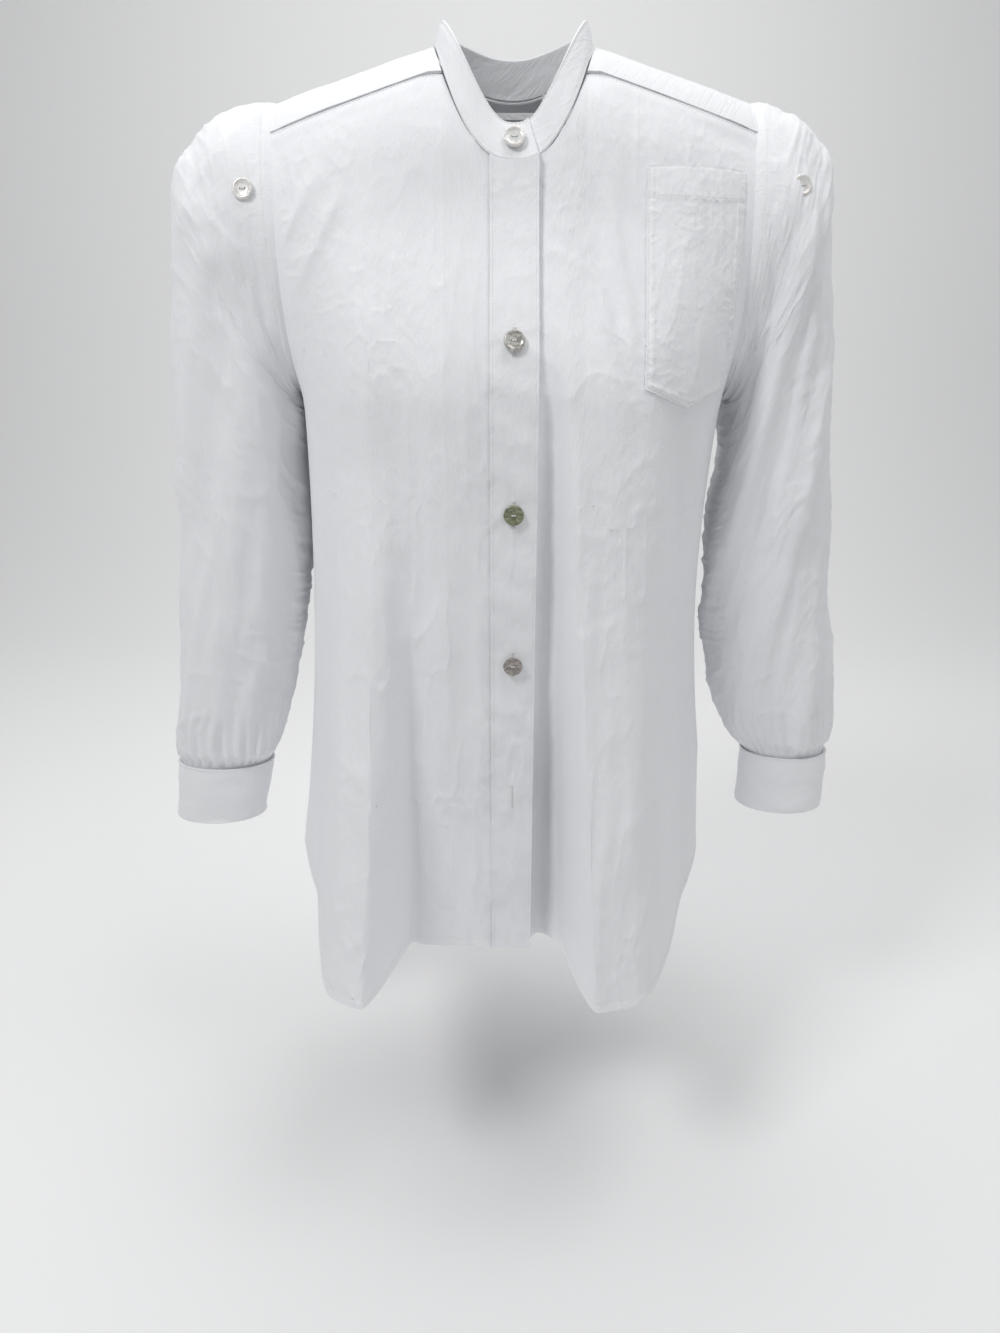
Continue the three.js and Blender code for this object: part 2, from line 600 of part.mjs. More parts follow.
// A round button on its back, with a rim round a dished middle and two holes.
function buttonGeometry() {
  const radius = BUTTON_DIAMETER / 2;
  const top = BUTTON_THICKNESS;
  const profile = [
    [0, 0], [radius - 1.4, 0], [radius, 1], [radius - 0.4, top - 0.3], [radius - 1.3, top],
    [radius - 3, top - DISH_DEPTH], [0, top - DISH_DEPTH],
  ].map(([r, y]) => new THREE.Vector2(r, y));
  const disc = new THREE.LatheGeometry(profile, 16).rotateX(Math.PI / 2);
  const hole = (x) =>
    new THREE.CylinderGeometry(HOLE_RADIUS, HOLE_RADIUS, 3 * top, 6).rotateX(Math.PI / 2).translate(x, 0, 0);
  return cut(disc, [hole(-HOLE_SPACING / 2), hole(HOLE_SPACING / 2)]);
}

// The sewing thread: a shank under the button and a stitch through its two holes.
function threadGeometry(sink) {
  const back = BUTTON_STANDOFF - GAP;
  const face = BUTTON_STANDOFF + BUTTON_THICKNESS - DISH_DEPTH + GAP;
  const shank = new THREE.CylinderGeometry(1.1, 1.1, sink + back, 8)
    .rotateX(Math.PI / 2)
    .translate(0, 0, (back - sink) / 2);
  const bar = (z) => new THREE.BoxGeometry(HOLE_SPACING + 0.8, 0.8, 0.5).translate(0, 0, z);
  const post = (x) =>
    new THREE.BoxGeometry(0.7, 0.7, face - back + 0.5).translate(x, 0, (face + back) / 2);
  return join([
    shank, bar(back - 0.25), bar(face + 0.25), post(-HOLE_SPACING / 2), post(HOLE_SPACING / 2),
  ]);
}

// Sews a button at a seat. "sink" is the depth of the layers that its thread passes through.
function addButton(name, finish, seat, sink = 0) {
  const place = seatMatrix(seat);
  const body = buttonGeometry().translate(0, 0, BUTTON_STANDOFF);
  addPiece(name, finish, body.applyMatrix4(place));
  addPiece(`${name}_thread`, "thread", threadGeometry(sink - GAP).applyMatrix4(place));
}

const FRONT_FINISHES = ["grey_shell", "green_shell", "pink_shell"];
holeSeats.slice(0, FASTENED_BUTTONS).forEach((seat, index) => {
  addButton(`front_button_${index + 1}`, FRONT_FINISHES[index], seat, UNDER_LAP);
});
const freeSeat = seatOn(leftSurface, LAP_SHARE / 2, placketV(FREE_BUTTON_Z), BODY_MIDDLE, STRIP_OUT);
addButton(`front_button_${FASTENED_BUTTONS + 1}`, "grey_shell", freeSeat);
addButton("neck_button", "grey_shell", bandSeat, BAND_STACK + LAP_GAP);

// A roll-up tab: a pointed strip that hangs inside the sleeve from the stitches behind its button.
function tabGeometry() {
  const half = TAB_WIDTH / 2;
  const slotHalf = SLOT_WIDTH / 2;
  const slotBottom = half + 3 - TAB_LENGTH;
  const points = (pairs) => pairs.map(([x, y]) => new THREE.Vector2(x, y));
  const shape = new THREE.Shape(
    points([[-half, 0], [-half, half - TAB_LENGTH], [0, -TAB_LENGTH], [half, half - TAB_LENGTH], [half, 0]]),
  );
  const slot = new THREE.Path(
    points([
      [-slotHalf, slotBottom], [-slotHalf, slotBottom + SLOT_LENGTH],
      [slotHalf, slotBottom + SLOT_LENGTH], [slotHalf, slotBottom],
    ]),
  );
  shape.holes.push(slot);
  return new THREE.ExtrudeGeometry(shape, { depth: 2 * CLOTH, bevelEnabled: false }).rotateX(Math.PI / 2);
}

for (const side of [RIGHT, LEFT]) {
  const sleeveAt = sleeveSurface(side);
  const middle = sleeveMiddle(side);
  addPiece(
    `${side.name}_sleeve`,
    "cloth",
    sheet(sleeveAt, SLEEVE_ANGLES, SLEEVE_ROWS, 0, -CLOTH, middle, true),
  );
  const behind = -Math.PI / 2;
  const half = degToRad(14);
  addPiece(
    `${side.name}_sleeve_placket`,
    "cloth",
    sheet(
      sleeveAt,
      [behind - half, behind, behind + half],
      [0.74, 0.8, 0.88, 0.94, 0.975],
      GAP + CLOTH,
      GAP,
      middle,
    ),
  );

  const cuffAt = cuffSurface(side);
  const { cuffTop, seamZ } = side.sleeve;
  const cuffX = side.sign * (cuffTop[0] + cuffTop[1]) * 0.5;
  const cuffMiddle = vec(cuffX, -SLEEVE_DROOP, seamZ - CUFF_HEIGHT / 2);
  const cuffLapTurn = Math.PI + CUFF_OVERLAP / (cuffTop[1] - cuffTop[0]);
  const cuffSeat = seatOn(cuffAt, 0.5 - Math.PI / (2 * cuffLapTurn), CUFF_HEIGHT / 2, cuffMiddle);
  const cuffUs = lapColumns(24, Math.PI / cuffLapTurn);
  addBand(`${side.name}_cuff`, BAND_LAYERS, cuffAt, cuffUs, CUFF_HEIGHT, cuffMiddle, cuffSeat);
  addButton(`${side.name}_cuff_button`, "grey_shell", cuffSeat, BAND_STACK + LAP_GAP);

  const tabSeat = seatOn(sleeveAt, degToRad(side.tab.angle), side.tab.s, middle);
  addButton(`${side.name}_tab_button`, "grey_shell", tabSeat);
  const tab = tabGeometry();
  tab.translate(tabSeat.point.x, tabSeat.point.y + CLOTH + TAB_CLEARANCE, tabSeat.point.z + 2);
  addPiece(`${side.name}_roll_tab`, "cloth", geometryOf(solidOf(tab)));
}

// ---- Inside the back neck ----
const LABEL_WIDTH = 50;
const labelSurface = (u, v) => overShoulder(LABEL_WIDTH * (u - 0.5), turnAt(lerp(24, 46, v)));
const LABEL_FACE = -2 * CLOTH - GAP - 2;
addPiece(
  "neck_label",
  "tape",
  sheet(labelSurface, steps(0, 1, 4), [0, 0.5, 1], LABEL_FACE, LABEL_FACE - 0.6, BODY_MIDDLE),
);

// The hanging loop: a tape bent into a shallow U, sewn by its two ends below the neck seam.
const LOOP_HALF = 30;
const LOOP_DROP = 18;
const LOOP_TAPE = 5;
const LOOP_THICKNESS = 1.2;

function loopGeometry() {
  const bend = 8;
  const right = [
    [LOOP_HALF, 0], [LOOP_HALF, bend - LOOP_DROP], [LOOP_HALF - 2.5, 2.5 - LOOP_DROP],
    [LOOP_HALF - bend, -LOOP_DROP],
  ];
  const inner = [
    [LOOP_HALF - bend, LOOP_TAPE - LOOP_DROP], [LOOP_HALF - LOOP_TAPE, bend - LOOP_DROP],
    [LOOP_HALF - LOOP_TAPE, 0],
  ];
  const mirrored = (points) => points.map(([x, y]) => [-x, y]).reverse();
  const outline = [...inner, ...right, ...mirrored(right), ...mirrored(inner)];
  const shape = new THREE.Shape(outline.map(([x, y]) => new THREE.Vector2(x, y)));
  return new THREE.ExtrudeGeometry(shape, { depth: LOOP_THICKNESS, bevelEnabled: false }).rotateX(Math.PI / 2);
}
const loopEnd = overShoulder(LOOP_HALF, neckBackTurn(LOOP_HALF));
const loop = loopGeometry().translate(0, loopEnd.y - 2 * CLOTH - 5, loopEnd.z - 2);
addPiece("hang_loop", "tape", geometryOf(solidOf(loop)));

export default gown;
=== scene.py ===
"""A long-sleeved, button-front cotton gown as it hangs from its shoulders.

The gown's own sizes are in millimetres, and every mesh is put into the scene in metres. +Z is up, the front
faces -Y and the wearer's right side is -X. The origin is the middle of the neck at its highest point.
"""
from __future__ import annotations

import logging
import math
from dataclasses import dataclass, replace
from enum import Enum
from typing import Any, Callable, Sequence

import bpy
import numpy as np
from mathutils import Matrix, Vector


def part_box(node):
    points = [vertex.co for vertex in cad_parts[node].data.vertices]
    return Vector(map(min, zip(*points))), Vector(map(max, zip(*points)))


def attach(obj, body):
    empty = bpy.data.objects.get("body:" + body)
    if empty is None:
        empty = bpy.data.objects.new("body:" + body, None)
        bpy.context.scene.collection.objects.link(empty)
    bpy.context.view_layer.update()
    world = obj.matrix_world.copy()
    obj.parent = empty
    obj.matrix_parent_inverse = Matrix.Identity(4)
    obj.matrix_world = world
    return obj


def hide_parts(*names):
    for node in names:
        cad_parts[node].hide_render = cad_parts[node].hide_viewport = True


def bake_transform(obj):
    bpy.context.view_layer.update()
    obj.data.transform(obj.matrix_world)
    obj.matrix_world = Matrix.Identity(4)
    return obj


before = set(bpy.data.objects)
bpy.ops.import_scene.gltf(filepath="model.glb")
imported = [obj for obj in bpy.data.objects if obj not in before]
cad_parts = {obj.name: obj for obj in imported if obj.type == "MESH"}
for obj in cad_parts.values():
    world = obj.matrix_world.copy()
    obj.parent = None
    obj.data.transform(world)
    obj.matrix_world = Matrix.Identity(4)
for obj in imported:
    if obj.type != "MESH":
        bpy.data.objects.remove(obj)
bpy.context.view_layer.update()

Array = np.ndarray
MM = 0.001
LOG = logging.getLogger("gown")


# ---- Numbers and noise ----


def ease(x: Array | float) -> Array:
    """Smooth step: 3x^2 - 2x^3 with x held within 0 and 1."""
    held = np.clip(x, 0.0, 1.0)
    return held * held * (3.0 - 2.0 * held)


def mix(a: Any, b: Any, share: Any) -> Any:
    """Straight blend from a at share 0 to b at share 1."""
    return a + (b - a) * share


def bell(x: Array, width: float) -> Array:
    """A bump of height 1 at x = 0 that has fallen to 1/e at x = width: exp(-(x / width)^2)."""
    return np.exp(-((x / width) ** 2))


def unit(vectors: Array) -> Array:
    """Vectors brought to length 1 along their last axis."""
    return vectors / np.maximum(np.linalg.norm(vectors, axis=-1, keepdims=True), 1e-9)


class Noise:
    """Seeded smooth noise on a plane, and the cloth patterns made from it."""

    SIZE = 256

    def __init__(self, seed: int) -> None:
        """Draws the lattice of random heights."""
        self.table = np.random.default_rng(seed).uniform(-1.0, 1.0, (self.SIZE, self.SIZE))

    def smooth(self, u: Array, v: Array) -> Array:
        """Lattice heights blended across each cell by 6t^5 - 15t^4 + 10t^3.

        Args:
            u, v: places on the plane; one lattice cell is 1 unit.

        Returns:
            Heights between -1 and 1.
        """
        iu, iv = np.floor(u).astype(int), np.floor(v).astype(int)
        fu, fv = u - iu, v - iv
        fu = fu**3 * (fu * (6.0 * fu - 15.0) + 10.0)
        fv = fv**3 * (fv * (6.0 * fv - 15.0) + 10.0)
        last = self.SIZE - 1
        near = mix(self.table[iu & last, iv & last], self.table[(iu + 1) & last, iv & last], fu)
        far = mix(
            self.table[iu & last, (iv + 1) & last], self.table[(iu + 1) & last, (iv + 1) & last], fu
        )
        return mix(near, far, fv)

    def fractal(self, u: Array, v: Array, octaves: int = 3) -> Array:
        """Sum of smooth noise at doubling scale and halving height."""
        return sum(
            0.5**k * self.smooth(u * 2**k + 17.3 * k, v * 2**k - 9.1 * k) for k in range(octaves)
        )

    def ridges(self, u: Array, v: Array, sharpness: float) -> Array:
        """Creases along the zero lines of warped noise: (1 - |noise|)^sharpness."""
        warp_u = u + 0.55 * self.smooth(0.6 * u + 3.1, 0.6 * v + 8.7)
        warp_v = v + 0.55 * self.smooth(0.6 * u + 11.9, 0.6 * v + 1.3)
        return (1.0 - np.abs(self.smooth(warp_u, warp_v))) ** sharpness

    def rumple(self, a: Array, b: Array) -> Array:
        """Height, in millimetres, of the creases left in pressed and worn cotton.

        Long creases run with the hang of the cloth, short ones cross them in patches, and a soft
        unevenness lies under both.

        Args:
            a, b: flat places on the cloth, across and down, in millimetres.

        Returns:
            Heights, about 0.6 mm either way.
        """
        long = self.ridges(a / 19.0, b / 46.0, 4.0)
        patch = ease(0.9 * self.smooth(a / 46.0 + 7.0, b / 58.0) + 0.5)
        short = self.ridges((a + 0.5 * b) / 9.0 + 31.0, (b - 0.4 * a) / 13.0, 4.0) * patch
        fine = self.ridges((a - 0.7 * b) / 5.5 + 63.0, (b + 0.5 * a) / 8.0, 5.0) * patch
        soft = self.fractal(a / 27.0 + 90.0, b / 44.0, 3)
        return 0.55 * long + 0.42 * short + 0.2 * fine + 0.45 * soft - 0.4


# ---- Shape of the gown ----


@dataclass(frozen=True)
class Fold:
    """The big fold that falls from the bust on one side of the front.

    The four edges, counted from the middle out, are where it starts to rise, is full, starts to fall
    and ends, first at its top and then at the hem.
    """

    top: float
    depth: float
    top_edges: tuple[float, float, float, float]
    hem_edges: tuple[float, float, float, float]


@dataclass(frozen=True)
class Half:
    """What differs between the wearer's right half and left half."""

    name: str
    sign: int
    flare: float
    waist: float
    fold: Fold
    reach: float
    cuff_top: tuple[float, float]
    cuff_bottom: tuple[float, float]
    cuff_z: float
    inner_power: float


RIGHT = Half(
    "right", -1, 48.0, 0.0,
    Fold(-300.0, 90.0, (78.0, 108.0, 128.0, 160.0), (94.0, 132.0, 158.0, 198.0)),
    86.0, (243.0, 342.0), (258.0, 351.0), -606.0, 2.6,
)
LEFT = Half(
    "left", 1, 22.0, 9.0,
    Fold(-180.0, 84.0, (24.0, 42.0, 70.0, 120.0), (44.0, 72.0, 106.0, 176.0)),
    72.0, (236.0, 324.0), (238.0, 326.0), -594.0, 5.0,
)


@dataclass(frozen=True)
class Shape:
    """The driving sizes of the gown and the surfaces that follow from them, in millimetres."""

    cloth: float = 0.8
    interlining: float = 0.6
    gap: float = 0.35
    lap_gap: float = 0.6
    neck_half: float = 62.0
    neck_front_drop: float = 92.0
    neck_back_drop: float = 18.0
    neck_roundness: float = 2.5
    shoulder_half: float = 184.0
    shoulder_drop: float = 35.0
    armhole_height: float = 220.0
    armhole_front: float = 68.0
    armhole_back: float = 62.0
    chest_front: tuple[float, float] = (84.0, 134.0)
    chest_back: tuple[float, float] = (96.0, 114.0)
    front_hem: float = -747.0
    back_hem: float = -780.0
    side_end: float = -697.0
    yoke_front_drop: float = 30.0
    yoke_back_z: float = -95.0
    lap: float = 18.0
    band_height: float = 28.0
    cuff_height: float = 62.0
    cuff_overlap: float = 24.0
    cuff_depth: float = 30.0
    sleeve_droop: float = 12.0
    button_zs: tuple[float, ...] = (-215.0, -338.0, -461.0, -584.0)

    @property
    def armpit(self) -> float:
        """Height of the armhole's lowest point."""
        return -self.shoulder_drop - self.armhole_height

    @property
    def radius(self) -> float:
        """Half of the armhole's height, which is also the rounding over the shoulder."""
        return self.armhole_height / 2

    @property
    def placket_stack(self) -> float:
        """Depth from the placket's face to the front's face behind it."""
        return self.cloth + self.interlining + 2 * self.gap

    @property
    def band_stack(self) -> float:
        """Thickness of a band or cuff: outer cloth, interlining and inner cloth."""
        return 2 * self.cloth + self.interlining + 2 * self.gap

    def shoulder_z(self, x: Array) -> Array:
        """Height of the shoulder line over x: level over the neck, then straight down to the arm."""
        share = np.clip((np.abs(x) - self.neck_half) / (self.shoulder_half - self.neck_half), 0, 1)
        return -self.shoulder_drop * share

    def half_width(self, half: Half, z: Array) -> Array:
        """Half of the body's width at z: level to the armpit, then a power of 2.06 flare less a waist."""
        below = np.maximum(0.0, (self.armpit - z) / (self.armpit - self.front_hem))
        waist = half.waist * np.sin(np.pi * np.minimum(1.0, 1.5 * below))
        return self.shoulder_half + half.flare * below**2.06 - waist

    def shoulder_round(self, x: Array, z: Array) -> Array:
        """Quarter circle from 0 at the shoulder line to 1 one armhole radius below it."""
        share = np.clip((self.shoulder_z(x) - z) / self.radius, 0, 1)
        return np.sqrt(np.maximum(0.0, 1 - (1 - share) ** 2))

    def armhole_edge(self, depth: float, z: Array, share: Array) -> Array:
        """Depth of the armhole's edge: straight, then a quarter circle in to the armpit.

        Away from the edge itself the end of the circle is softened, so that no crease runs inwards
        from the armpit: (t + sqrt(t^2 + k^2)) / 2, where t is the circle's own square.
        """
        low = np.maximum(0.0, (self.armpit + self.radius - z) / self.radius)
        left = 1 - low**2
        soft = 0.6 * (1 - np.minimum(1.0, share) ** 10)
        return depth * np.sqrt(np.maximum(0.0, (left + np.sqrt(left**2 + soft**2)) / 2))

    @staticmethod
    def section(middle: Array, edge: Array, share: Array) -> Array:
        """Superellipse of power 2.8 from the middle's depth to the edge's depth."""
        s = np.minimum(1.0, share) ** 2.8
        return np.sqrt(middle**2 * (1 - s) + edge**2 * s)

    def fold(self, half: Half, x: Array, z: Array) -> Array:
        """Depth of the big fold: a soft ramp down the cloth times a smooth rise and fall across it."""
        fold = half.fold
        down = np.clip((fold.top - z) / (fold.top - self.front_hem), 0, 1.1)
        ramp = 1.09 * down**2 / (down + 0.09)
        edges = [mix(a, b, np.minimum(down, 1.0)) for a, b in zip(fold.top_edges, fold.hem_edges)]
        rise = ease((x - edges[0]) / (edges[1] - edges[0]))
        fall = ease((edges[3] - x) / (edges[3] - edges[2]))
        return fold.depth * ramp * (rise * fall) ** 0.62

    def front_depth(self, half: Half, x: Array, z: Array) -> Array:
        """Depth of the front at the placket's face; x counts from the middle to the half's own side."""
        middle = mix(*self.chest_front, ease((-90 - z) / 170))
        share = np.abs(x) / self.half_width(half, z)
        section = self.section(middle, self.armhole_edge(self.armhole_front, z, share), share)
        return self.shoulder_round(x, z) * section + self.fold(half, x, z)

    def back_depth(self, half: Half, x: Array, z: Array) -> Array:
        """Depth of the back: the same kind of section, with ripples that grow towards the hem."""
        middle = mix(*self.chest_back, ease((-60 - z) / 200))
        share = np.minimum(1.0, np.abs(x) / self.half_width(half, z))
        section = self.section(middle, self.armhole_edge(self.armhole_back, z, share), share)
        down = np.maximum(0.0, (self.yoke_back_z - z) / (self.yoke_back_z - self.back_hem))
        ripple = 11 * down * np.cos(2 * np.pi * x / 88) * (1 - share**4)
        return self.shoulder_round(x, z) * section + ripple

    def looseness(self, z: Array) -> Array:
        """How far the fronts hang apart below the last fastened button."""
        pitch = self.button_zs[2] - self.button_zs[3]
        return 10 * ease((self.button_zs[2] - 10 - z) / (pitch + 10))

    def left_inset(self, x: Array, z: Array) -> Array:
        """How far the left front lies behind the placket's face: under the lap, then in the groove."""
        fold = LEFT.fold
        start = mix(fold.top_edges[0], fold.hem_edges[0], np.clip((-180 - z) / 567, 0, 1))
        groove = 9 * ease((-200 - z) / 160) * ease((x - self.lap) / 8)
        under = 2 * self.cloth + self.gap + self.lap_gap + self.looseness(z) + groove
        return under * (1 - ease((x - self.lap - 2) / (start + 12 - self.lap)))

    def neck_front_z(self, x: Array) -> Array:
        """Height of the front neckline: a rounded bowl between the two neck points."""
        share = np.minimum(1.0, np.abs(x) / self.neck_half)
        return -self.neck_front_drop * (1 - share**self.neck_roundness)

    def over_shoulder(self, x: Array, turn: Array) -> Array:
        """A place on the yoke: x across, and the angle over the shoulder line from front to back."""
        z = self.shoulder_z(x) - self.radius * (1 - np.cos(turn))
        side = np.abs(x)
        front = -self.front_depth(RIGHT, side, z)
        back = self.back_depth(RIGHT, side, z)
        return np.stack([x, np.where(turn < 0, front, back), z], axis=-1)

    def turn_at(self, drop: Array) -> Array:
        """The angle over the shoulder line at which the cloth has dropped this far."""
        return np.arccos(np.clip(1 - drop / self.radius, -1, 1))


SHAPE = Shape()


# ---- Cloth on a grid ----


def arc_lengths(points: Array) -> Array:
    """Flat coordinates of a grid: the distance run along each row, and down each column."""
    across = np.linalg.norm(np.diff(points, axis=1), axis=-1)
    down = np.linalg.norm(np.diff(points, axis=0), axis=-1)
    a = np.concatenate([np.zeros((len(points), 1)), np.cumsum(across, axis=1)], axis=1)
    b = np.concatenate([np.zeros((1, points.shape[1])), np.cumsum(down, axis=0)], axis=0)
    return np.stack([a, b], axis=-1)


@dataclass
class Sheet:
    """A piece of cloth as a grid of places on its outer face, in millimetres.

    Fields:
        points: rows x columns x 3. A loop repeats its first column as its last.
        thickness: one number, or one for each place.
        inside: a place on the inner side, which settles which way the cloth faces.
        loop: whether the last column closes on the first.
        holes: which cells between places are cut away, or None.
    """

    points: Array
    thickness: Any
    inside: tuple[float, float, float]
    loop: bool = False
    holes: Array | None = None

    def __post_init__(self) -> None:
        """Works out the flat coordinates and the outward normals."""
        self.flat = arc_lengths(self.points)
        self.refresh()

    def refresh(self) -> None:
        """Works out the normals again: the cross product of the grid's two directions."""
        across = np.gradient(self.points, axis=1)
        if self.loop:
            wrapped = self.points[:, 1] - self.points[:, -2]
            across[:, 0] = across[:, -1] = wrapped / 2
        down = np.gradient(self.points, axis=0)
        normals = unit(np.cross(across, down))
        outward = np.sum(normals * (self.points - np.array(self.inside)))
        self.sign = 1 if outward > 0 else -1
        self.normals = normals * self.sign

    @property
    def width(self) -> Array:
        """Length of each row, shaped to broadcast over the grid."""
        return self.flat[:, -1:, 0]

    @property
    def length(self) -> Array:
        """Length of each column, shaped to broadcast over the grid."""
        return self.flat[-1:, :, 1]

    def raised(self, height: Array) -> "Sheet":
        """The same cloth moved along its normals by a height for each place."""
        if self.loop:
            blend = np.asarray(height, float).copy()
            blend[:, -1] = blend[:, 0]
            height = blend
        moved = replace(self, points=self.points + self.normals * height[..., None])
        moved.flat = self.flat
        return moved

    def place(self, rows: Array, columns: Array) -> tuple[Array, Array]:
        """Places and normals at row and column numbers with fractions, blended between neighbours."""
        r = np.clip(rows, 0, self.points.shape[0] - 1.001)
        c = np.clip(columns, 0, self.points.shape[1] - 1.001)
        i, j = r.astype(int), c.astype(int)
        fr, fc = (r - i)[:, None], (c - j)[:, None]

        def blended(grid: Array) -> Array:
            """Bilinear blend of one grid."""
            top = mix(grid[i, j], grid[i, j + 1], fc)
            return mix(top, mix(grid[i + 1, j], grid[i + 1, j + 1], fc), fr)

        return blended(self.points), blended(self.normals)

    def mesh(self, name: str) -> bpy.types.Object:
        """Builds the closed solid: both faces, and a wall along every edge and round every hole.

        Args:
            name: the piece's name.

        Returns:
            The piece, in metres, with flat coordinates in metres as its UV map.
        """
        rows, columns = self.points.shape[:2]
        wide = columns - 1 if self.loop else columns
        thick = np.broadcast_to(np.asarray(self.thickness, float), (rows, columns))
        inner = self.points - self.normals * thick[..., None]
        vertices = np.concatenate([self.points[:, :wide], inner[:, :wide]]).reshape(-1, 3) * MM

        kept = np.ones((rows - 1, columns - 1), bool) if self.holes is None else ~self.holes
        padded = np.pad(kept, ((1, 1), (1, 1)))
        if self.loop:
            padded[:, 0], padded[:, -1] = padded[:, -2], padded[:, 1]

        def quads(cells: Array, corners: Sequence[tuple[int, int, int]]) -> Array:
            """Faces of the chosen cells; a corner is (row step, column step, 0 outer or 1 inner)."""
            r, c = np.nonzero(cells)
            return np.stack([np.stack([r + dr, c + dc, 0 * r + side]) for dr, dc, side in corners])

        inside = padded[1:-1, 1:-1]
        groups = [
            quads(inside, [(0, 0, 0), (0, 1, 0), (1, 1, 0), (1, 0, 0)]),
            quads(inside, [(0, 0, 1), (1, 0, 1), (1, 1, 1), (0, 1, 1)]),
            quads(inside & ~padded[1:-1, 2:], [(1, 1, 0), (0, 1, 0), (0, 1, 1), (1, 1, 1)]),
            quads(inside & ~padded[1:-1, :-2], [(0, 0, 0), (1, 0, 0), (1, 0, 1), (0, 0, 1)]),
            quads(inside & ~padded[:-2, 1:-1], [(0, 1, 0), (0, 0, 0), (0, 0, 1), (0, 1, 1)]),
            quads(inside & ~padded[2:, 1:-1], [(1, 0, 0), (1, 1, 0), (1, 1, 1), (1, 0, 1)]),
        ]
        faces = np.concatenate(groups, axis=2)  # corner x (row, column, side) x face
        if self.sign < 0:
            faces = faces[::-1]
        row, column, side = faces[:, 0].T, faces[:, 1].T, faces[:, 2].T
        index = side * rows * wide + row * wide + column % wide
        return new_mesh(name, vertices, index, self.flat[row, column].reshape(-1, 2) * MM)


def linked(name: str, data: Any) -> bpy.types.Object:
    """A new object with this data, in the scene."""
    thing = bpy.data.objects.new(name, data)
    bpy.context.scene.collection.objects.link(thing)
    return thing


def smooth_shaded(mesh: bpy.types.Mesh, degrees: float) -> None:
    """Shades a mesh smooth, but keeps edges sharp that turn by more than an angle."""
    mesh.polygons.foreach_set("use_smooth", np.ones(len(mesh.polygons), bool))
    mesh.set_sharp_from_angle(angle=math.radians(degrees))


def new_mesh(name: str, vertices: Array, faces: Array, uv: Array | None = None) -> bpy.types.Object:
    """Puts arrays into a new smooth-shaded mesh object.

    Args:
        name: the piece's name.
        vertices: n x 3, in metres.
        faces: m x k vertex numbers, k corners each.
        uv: one pair for each corner of each face, or None.

    Returns:
        The new object, linked to the scene.
    """
    mesh = bpy.data.meshes.new(name)
    count, corners = faces.shape
    mesh.vertices.add(len(vertices))
    mesh.vertices.foreach_set("co", np.ascontiguousarray(vertices, np.float32).ravel())
    mesh.loops.add(count * corners)
    mesh.loops.foreach_set("vertex_index", np.ascontiguousarray(faces, np.int32).ravel())
    mesh.polygons.add(count)
    mesh.polygons.foreach_set("loop_start", np.arange(0, count * corners, corners, dtype=np.int32))
    mesh.update(calc_edges=True)
    if uv is not None:
        mesh.uv_layers.new(name="flat")
        mesh.uv_layers["flat"].data.foreach_set("uv", np.ascontiguousarray(uv, np.float32).ravel())
    smooth_shaded(mesh, 52)
    mesh.validate()
    return linked(name, mesh)


# ---- Shader building ----


class Value:
    """A shader socket that takes Python's operators; each one adds a Math node."""

    def __init__(self, shader: "Shader", socket: bpy.types.NodeSocket) -> None:
        """Keeps the socket and the shader it belongs to."""
        self.shader = shader
        self.socket = socket

    def _math(self, operation: str, first: Any, second: Any) -> "Value":
        """Adds one Math node."""
        return self.shader.node("ShaderNodeMath", {"operation": operation}, [first, second])

    def __add__(self, other: Any) -> "Value":
        """self + other."""
        return self._math("ADD", self, other)

    def __radd__(self, other: Any) -> "Value":
        """other + self."""
        return self._math("ADD", other, self)

    def __sub__(self, other: Any) -> "Value":
        """self - other."""
        return self._math("SUBTRACT", self, other)

    def __rsub__(self, other: Any) -> "Value":
        """other - self."""
        return self._math("SUBTRACT", other, self)

    def __mul__(self, other: Any) -> "Value":
        """self * other."""
        return self._math("MULTIPLY", self, other)

    def __rmul__(self, other: Any) -> "Value":
        """other * self."""
        return self._math("MULTIPLY", other, self)

    def __pow__(self, other: Any) -> "Value":
        """self to the power of other."""
        return self._math("POWER", self, other)

    def wave(self) -> "Value":
        """Sine of self."""
        return self._math("SINE", self, 0.0)

    def size(self) -> "Value":
        """Absolute value of self."""
        return self._math("ABSOLUTE", self, 0.0)


